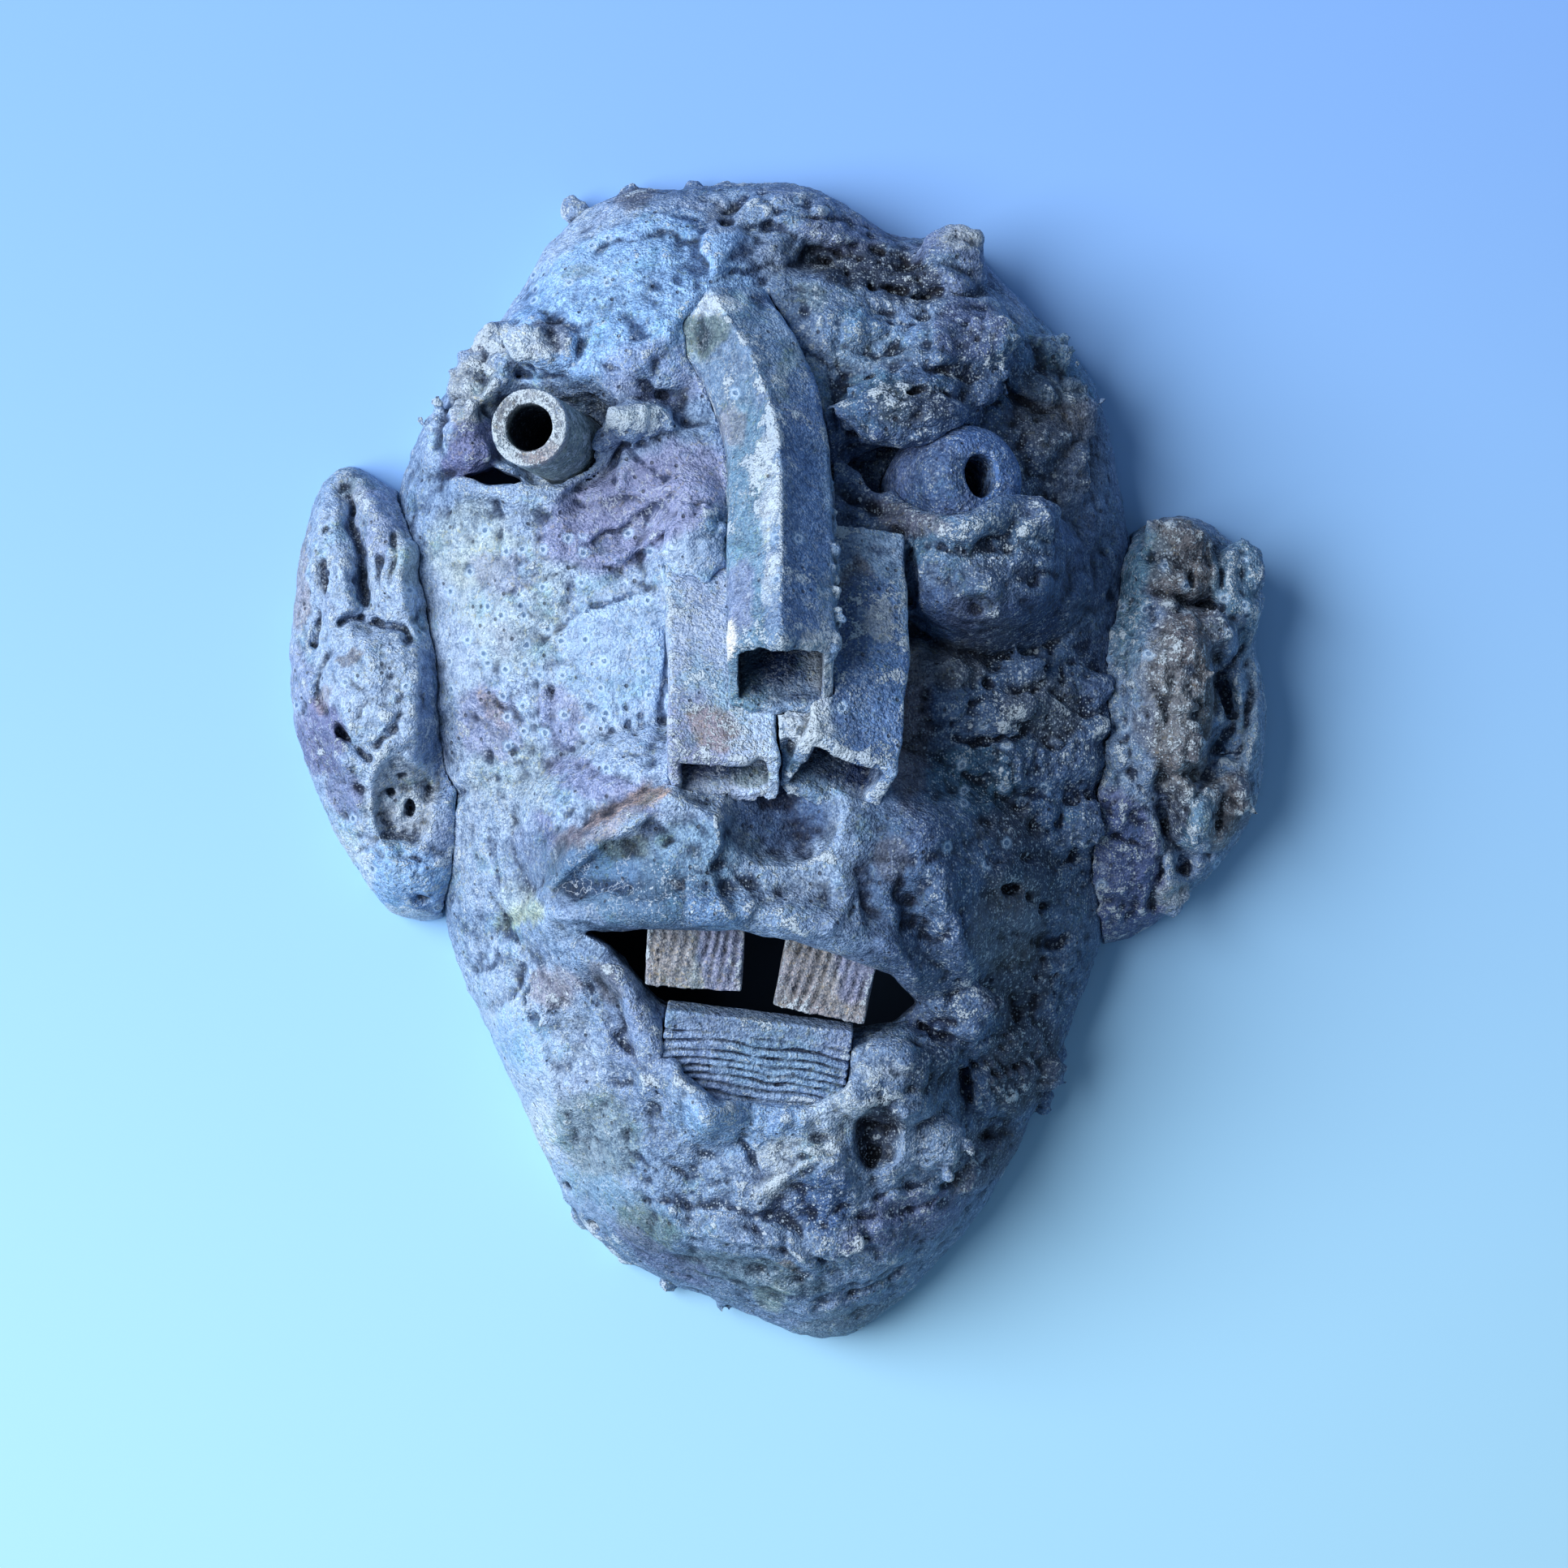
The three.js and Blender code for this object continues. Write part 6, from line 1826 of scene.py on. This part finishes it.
def ear_clay(ear):
    clay = Clay(ear.low, ear.high, EAR_PITCH)
    x, y = clay.plan()
    height = ear_height(ear, x, y)
    ragged = 0.9 * layered_noise(x, y, 0, 5, 37) + 0.4
    clay.fill_relief(height, ear.outline.edge(x, y) + ragged, 4)
    for bit in ear.bits:
        clay.add(bit_on(partial(ear_height, ear), bit), 1.6)
    for hole in ear.holes:
        clay.cut(bit_on(partial(ear_height, ear), hole), 1.0)
    smoothed = ear._replace(marks=[], kneading=0)
    inside = ear.outline.edge(x, y, EAR_RIM_WIDTH) < 0
    under = np.where(inside, ear_height(smoothed, x, y) - EAR_WALL, -20)
    clay.trim_below(under, clay.slope(under))
    clay.cut_relief(face_height(x, y), face_outline.edge(x, y), SEAM)
    return clay


def ear_paint(stains, painted_shade, frost, seed):
    def paint(points, hollow):
        # An ear can be painted darker on the whole, as painted shade.
        stain = paint_stains(points, BLUE_GREY, stains, seed) * (1 - painted_shade * np.array(PAINTED_SHADE_FACTORS))
        return plain_coat(stain, 0.7 * edge_crust(points, hollow, seed + 30) + 0.08, 0.2, frost, 0.3)

    return paint


def ear_grit(crumbly, seed):
    def grit(points):
        on_table = smooth((points[:, 2] - 0.5) / 3)
        return clay_grit(points, crumbly, 0.2, seed) * on_table

    return grit


BRIDGE_SLIT = [(11, 97, 104), (12.5, 88, 108), (14, 78, 110)]
NOSTRIL_BITS = [
    Bit("clay that joins the tubes", (5.5, 11.5), (7, 7, 5), 110),
    Bit("web between the tubes", (3, 3), (5, 12, 6), 104),
]


def barnacles(tube, side, start, end, count, seed):
    """Small crusty lumps along an edge of a tube."""
    rng = np.random.default_rng(seed)
    found = []
    for _ in range(count):
        at, _ = tube.middle(rng.uniform(start, end) * tube.length)
        size = rng.uniform(1.1, 2.3, 3)
        at[0] += side * BRIDGE_WIDTH / 2 + rng.normal(0, 0.8)
        at[2] += rng.uniform(-9, 1)
        found.append(blob(at, size, rng.uniform(0, 90)))
    return found


def tube_clay(tube, others, bits=(), slits=()):
    clay = Clay(tube.low - 1, tube.high + (1, 1, 6), TUBE_PITCH)
    x, y = clay.plan()
    clay.add(tube.shape(), 0.6)
    for bit in bits:
        clay.add(bit, 1.2)
    clay.cut(Shape(tube.low, tube.high, tube.bore), 0.8)
    for slit in slits:
        clay.cut(slit, 0.8)
    for other in others:
        clay.cut(other.shape(TUBE_SEAM), 0.2)
    clay.trim_below(hollow_height(x, y) + LINING + 2 * SEAM)
    return clay


def bridge_clay():
    return tube_clay(BRIDGE, [], barnacles(BRIDGE, 1, 0.5, 0.98, 34, 5), [coil(BRIDGE_SLIT, 1.1)])


def right_nostril_clay():
    return tube_clay(RIGHT_NOSTRIL, [BRIDGE, LEFT_NOSTRIL], [free_bit(bit) for bit in NOSTRIL_BITS])


def tube_grit(tube, seed):
    def grit(points):
        x, y, z = points.T
        at_end = smooth((tube.place(x, y, z)[0] - tube.length + 14) / 12)
        crust = np.maximum(0, layered_noise(x, y, z, 3.4, seed + 9) - 0.1) * 1.6
        bends = 0.9 * noise(x, y, z, 13, seed + 12) + 0.4 * noise(x, y, z, 6, seed + 13)
        return 0.7 * clay_grit(points, 0.2, 0.5, seed) + bends + at_end * 0.5 * crust

    return grit


def tube_paint(tube, base, stains, salt, calm, seed, chip=None):
    def paint(points, hollow):
        x, y, z = points.T
        run, a, b = tube.place(x, y, z)
        stain = paint_stains(points, base, stains, seed)
        # The inside of the tube is painted darker, as painted shade.
        inner = smooth((-tube.section(a, b, tube.wall - 1, 1)) / 1.5) * smooth((tube.length + 1 - run) / 5)
        stain = stain * (1 - inner[:, None] * np.array(SHADOWED))
        # The right side of the tube, away from the lamp, is painted lighter, as painted light.
        painted_light_side = smooth((a - 2) / 6)
        stain = stain * (1 + 0.3 * painted_light_side[:, None])
        crust = 0.9 * edge_crust(points, hollow, seed + 30) * (1 - inner)
        crust = crust + salted(salt, points, seed + 40) * (1 - inner)
        coat = plain_coat(stain, crust, 0.12, 0.35, calm)
        if chip:
            at, size = chip
            away = ((x - at[0]) / size[0]) ** 2 + ((y - at[1]) / size[1]) ** 2 + ((z - at[2]) / size[2]) ** 2
            return coat._replace(fresh=smooth((1.15 - away + 0.3 * noise(x, y, z, 2, seed)) / 0.15))
        return coat

    return paint


def eye_tube_paint(points, hollow):
    run, away = axis_place(EYE_TUBE_FOOT, EYE_TUBE_AXIS, *points.T)
    stain = paint_stains(points, CREAM, EYE_TUBE_STAINS, 710)
    side = smooth((EYE_TUBE_LENGTH - 1 - run) / 5)[:, None]
    stain = stain + 0.75 * side * (np.array(OLIVE) * 1.1 - stain)
    # The inside of the eye tube is painted darker, as painted shade.
    inner = smooth((EYE_TUBE_BORE + 1.2 - away) / 1) * smooth((EYE_TUBE_LENGTH - 1.5 - run) / 5)
    stain = stain * (1 - inner[:, None] * np.array(SHADOWED))
    return plain_coat(stain, 0.9 * edge_crust(points, hollow, 740) * (1 - inner), 0, 0.3)


def eye_tube_clay():
    clay = Clay((-92, 82, 34), (-48, 118, 99), SMALL_PITCH)
    clay.add(eye_tube(EYE_TUBE_RADIUS, 0, EYE_TUBE_LENGTH), 0.6)
    clay.cut(eye_tube(EYE_TUBE_BORE, -5, EYE_TUBE_LENGTH + 5), 1.2)
    return clay


def eye_cone_clay():
    clay = Clay((26, 60, 30), (82, 112, 93), SMALL_PITCH)
    clay.add(eye_cone(), 0.6)
    clay.cut(eye_cone_bore(), 1.5)
    return clay


def small_clay(shape):
    clay = Clay(shape.low, shape.high, SMALL_PITCH)
    clay.add(shape, 0.3)
    return clay


def small_grit(amount, crumbly, seed):
    def grit(points):
        return amount * clay_grit(points, crumbly, 0.5, seed)

    return grit


def small_paint(base, stains, seed, crust_amount, frost=0.3):
    def paint(points, hollow):
        stain = paint_stains(points, base, stains, seed)
        return plain_coat(stain, crust_amount * edge_crust(points, hollow, seed + 30), 0, frost)

    return paint


EYE_TUBE_STAINS = [
    Stain(BROWN, (-84, 106), (7, 7), 0.5), Stain(BUFF, (-70, 92), (8, 8), 0.6),
    Stain(RUST, (-78, 92), (7, 5), 0.5),
]
LEFT_TOOTH_STAINS = [Stain(MAUVE, (-18, -60), (8, 14), 0.6)]
RIGHT_TOOTH_STAINS = [Stain(MAUVE, (24, -64), (8, 14), 0.6)]
BLOCK_STAINS = [Stain(TEAL, (0, -95), (24, 8), 0.3)]
EYE_CONE_STAINS = [Stain(CHAR, (52, 84), (12, 14), 0.4)]
BRIDGE_SALT = [
    Zone((-4, 86), (5, 20), 1), Zone((-3, 57), (3, 8), 0.9), Zone((-17, 142), (10, 3), 1),
    Zone((-9, 122), (4, 14), 0.7, 20), Zone((16, 36), (4, 26), 0.8), Zone((-9, 48), (4, 5), 0.6),
]
RIGHT_NOSTRIL_SALT = [
    Zone((7, 10), (8, 8), 0.8), Zone((28, 64), (10, 3), 0.5), Zone((16, 2), (16, 3), 0.7, -16),
]
BRIDGE_STAINS_AND_SHADE = [
    Stain(OLIVE, (-22, 132), (9, 9), 0.8), Stain(WHITE, (-18, 142), (10, 4), 0.8, 10),
    Stain(TEAL, (-10, 60), (9, 60), 0.5), Stain(WHITE, (-4, 80), (4, 20), 0.9),
    Stain(RUST, (-14, 104), (4, 8), 0.4), Stain(OLIVE, (4, 118), (6, 12), 0.5),
    # The dark blue on the right of the bridge is painted shade, on its side away from the lamp.
    Stain(MAUVE, (-11, 48), (6, 14), 0.6), Stain(DEEP_BLUE, (8, 80), (8, 50), 0.7),
    Stain(WHITE, (-1, 52), (2.5, 8), 0.7), Stain(CREAM, (12, 30), (4, 10), 0.6),
]
LEFT_NOSTRIL_STAINS = [
    Stain(MAUVE, (-25, 44), (12, 30), 0.25), Stain(MAUVE, (-26, 8), (14, 14), 0.7),
    Stain(RUST, (-18, 10), (8, 8), 0.7), Stain(OLIVE, (-8, -4), (8, 3), 0.6),
]
# The pure white break on the edge of the bridge: its middle and its reach.
BRIDGE_CHIP = ((-15.5, 35.5, 124), (3.5, 6, 16))
RIGHT_NOSTRIL_STAINS_AND_SHADE = [
    # The dark blue on the right of the tube is painted shade, on its side away from the lamp.
    Stain(BROWN, (24, 45), (7, 20), 0.7), Stain(DEEP_BLUE, (28, 24), (14, 36), 0.8),
    Stain(WHITE, (8, 12), (8, 9), 0.9), Stain(PALE_BLUE, (26, -8), (10, 6), 0.7),
    Stain(CREAM, (32, 40), (5, 8), 0.5),
]


def build_face_and_ears(shell):
    ear_material = fired_clay("ear clay")
    model("face_shell", shell, face_clay(), face_grit, face_paint, FACE_TRIANGLES)
    for name, ear, crumbly, stains, painted_shade, frost, seed in (
            ("left_ear", LEFT_EAR, 0.2, LEFT_EAR_STAINS_AND_SHADE, 0, 0.4, 500),
            # The right ear's 0.4 is painted shade, for its side away from the lamp.
            ("right_ear", RIGHT_EAR, 0.35, RIGHT_EAR_STAINS, 0.4, 0.7, 520)):
        model(name, ear_material, ear_clay(ear), ear_grit(crumbly, seed),
              ear_paint(stains, painted_shade, frost, seed + 10), EAR_TRIANGLES)


def build_nose():
    material = fired_clay("nose clay", brush=0.3)
    for name, tube, clay, paint, seed in (
            ("nose_bridge_tube", BRIDGE, bridge_clay(),
             tube_paint(BRIDGE, SLATE, BRIDGE_STAINS_AND_SHADE, BRIDGE_SALT, 0.4, 610, BRIDGE_CHIP), 600),
            ("left_nostril_tube", LEFT_NOSTRIL, tube_clay(LEFT_NOSTRIL, [BRIDGE]),
             tube_paint(LEFT_NOSTRIL, PALE_BLUE, LEFT_NOSTRIL_STAINS, [], 0.9, 630), 620),
            ("right_nostril_tube", RIGHT_NOSTRIL, right_nostril_clay(),
             tube_paint(RIGHT_NOSTRIL, SLATE, RIGHT_NOSTRIL_STAINS_AND_SHADE, RIGHT_NOSTRIL_SALT, 0.2, 650), 640)):
        model(name, material, clay, tube_grit(tube, seed), paint, TUBE_TRIANGLES)


def build_eyes(shell):
    model("left_eye_tube", fired_clay("pale tube"), eye_tube_clay(), small_grit(0.45, 0.2, 700),
          eye_tube_paint, SMALL_TRIANGLES)
    model("right_eye_cone", shell, eye_cone_clay(), small_grit(0.7, 0.3, 720),
          small_paint(DEEP_BLUE, EYE_CONE_STAINS, 730, 0.5, 0.4), SMALL_TRIANGLES)


def build_teeth():
    ribbed = fired_clay("ribbed clay")
    for name, slab, stains, seed in (("left_upper_tooth", LEFT_TOOTH, LEFT_TOOTH_STAINS, 740),
                                     ("right_upper_tooth", RIGHT_TOOTH, RIGHT_TOOTH_STAINS, 760)):
        model(name, ribbed, small_clay(tooth(slab)), small_grit(0.4, 0.1, seed),
              small_paint(BUFF, stains, seed + 10, 0.8), SMALL_TRIANGLES)
    model("lower_teeth_block", fired_clay("layered clay"), small_clay(layered_block()),
          small_grit(0.4, 0.1, 780), small_paint(BLUE_GREY, BLOCK_STAINS, 790, 0.7), SMALL_TRIANGLES)


TABLE_SIZE = 4
TABLE_GAP = 0.0005
# The sheet's colour below the chin and above the crown, painted lighter towards the chin as painted light,
# and how far from the middle each is reached.
SHEET_BY_CHIN = (0.44, 0.78, 1.0)
SHEET_BY_CROWN = (0.26, 0.49, 0.99)
SHEET_CHIN = -330
SHEET_CROWN = 330
# The painted shade under the mask: a dark ellipse on the sheet.
SHADE_MIDDLE = -10
SHADE_WIDTH = 92
SHADE_LENGTH = 150
SHADE_COLOUR = (0.02, 0.04, 0.08)


def build_table():
    """The pale blue sheet that the mask lies on, painted lighter towards the chin as painted light, with
    painted shade under the mask.
    """
    bpy.ops.mesh.primitive_plane_add(size=TABLE_SIZE, location=(0, 0, -TABLE_GAP))
    table = bpy.context.object
    table.name = "table"
    recipe = Recipe("table sheet")
    across, along = recipe.node("ShaderNodeSeparateXYZ", {0: recipe.place}).outputs[0:2]
    # The sheet is painted lighter towards the chin, as painted light.
    colour = recipe.mix(recipe.ramp(along, SHEET_CHIN, SHEET_CROWN), SHEET_BY_CHIN, SHEET_BY_CROWN)
    # The sheet is painted dark under the mask, as painted shade.
    long_way = recipe.math("DIVIDE", recipe.math("SUBTRACT", along, SHADE_MIDDLE), SHADE_LENGTH)
    wide_way = recipe.math("DIVIDE", across, SHADE_WIDTH)
    away = recipe.math("ADD", recipe.math("POWER", long_way, 2), recipe.math("POWER", wide_way, 2))
    colour = recipe.mix(recipe.ramp(away, 0.8, 1), SHADE_COLOUR, colour)
    recipe.tree.links.new(colour, recipe.shader.inputs["Base Color"])
    recipe.shader.inputs["Roughness"].default_value = 0.8
    recipe.shader.inputs["Specular IOR Level"].default_value = 0.2
    table.data.materials.append(recipe.material)


# The places of the lamp and the camera are in metres, and the lens and its sensor in millimetres.
WINDOW_PLACE = (-1.7, 0.25, 1.95)
WINDOW_SIZE = 2.3
WINDOW_POWER = 95
WINDOW_COLOUR = (0.97, 0.98, 1.0)
ROOM_COLOUR = (0.58, 0.79, 1.0, 1)
ROOM_STRENGTH = 0.22
CAMERA_PLACE = (0.002, -0.0075, 1.226)
CAMERA_LENS = 85
CAMERA_SENSOR = 36


def build_light():
    """A large soft lamp from the upper left, and an even blue light from all round."""
    lamp = bpy.data.lights.new("window", "AREA")
    lamp.shape = "DISK"
    lamp.size = WINDOW_SIZE
    lamp.energy = WINDOW_POWER
    lamp.color = WINDOW_COLOUR
    holder = bpy.data.objects.new("window", lamp)
    holder.location = WINDOW_PLACE
    holder.rotation_euler = (-Vector(WINDOW_PLACE)).to_track_quat("-Z", "Y").to_euler()
    bpy.context.scene.collection.objects.link(holder)
    world = bpy.data.worlds.new("room")
    bpy.context.scene.world = world
    world.use_nodes = True
    sky = world.node_tree.nodes["Background"]
    sky.inputs["Color"].default_value = ROOM_COLOUR
    sky.inputs["Strength"].default_value = ROOM_STRENGTH
    bpy.context.scene.view_settings.view_transform = "Standard"


def build_camera():
    lens = bpy.data.cameras.new("camera")
    lens.lens = CAMERA_LENS
    lens.sensor_width = CAMERA_SENSOR
    camera = bpy.data.objects.new("camera", lens)
    camera.location = CAMERA_PLACE
    bpy.context.scene.collection.objects.link(camera)
    bpy.context.scene.camera = camera


build_camera()
build_table()
build_light()
shell_material = fired_clay("fired shell")
build_face_and_ears(shell_material)
build_nose()
build_eyes(shell_material)
build_teeth()
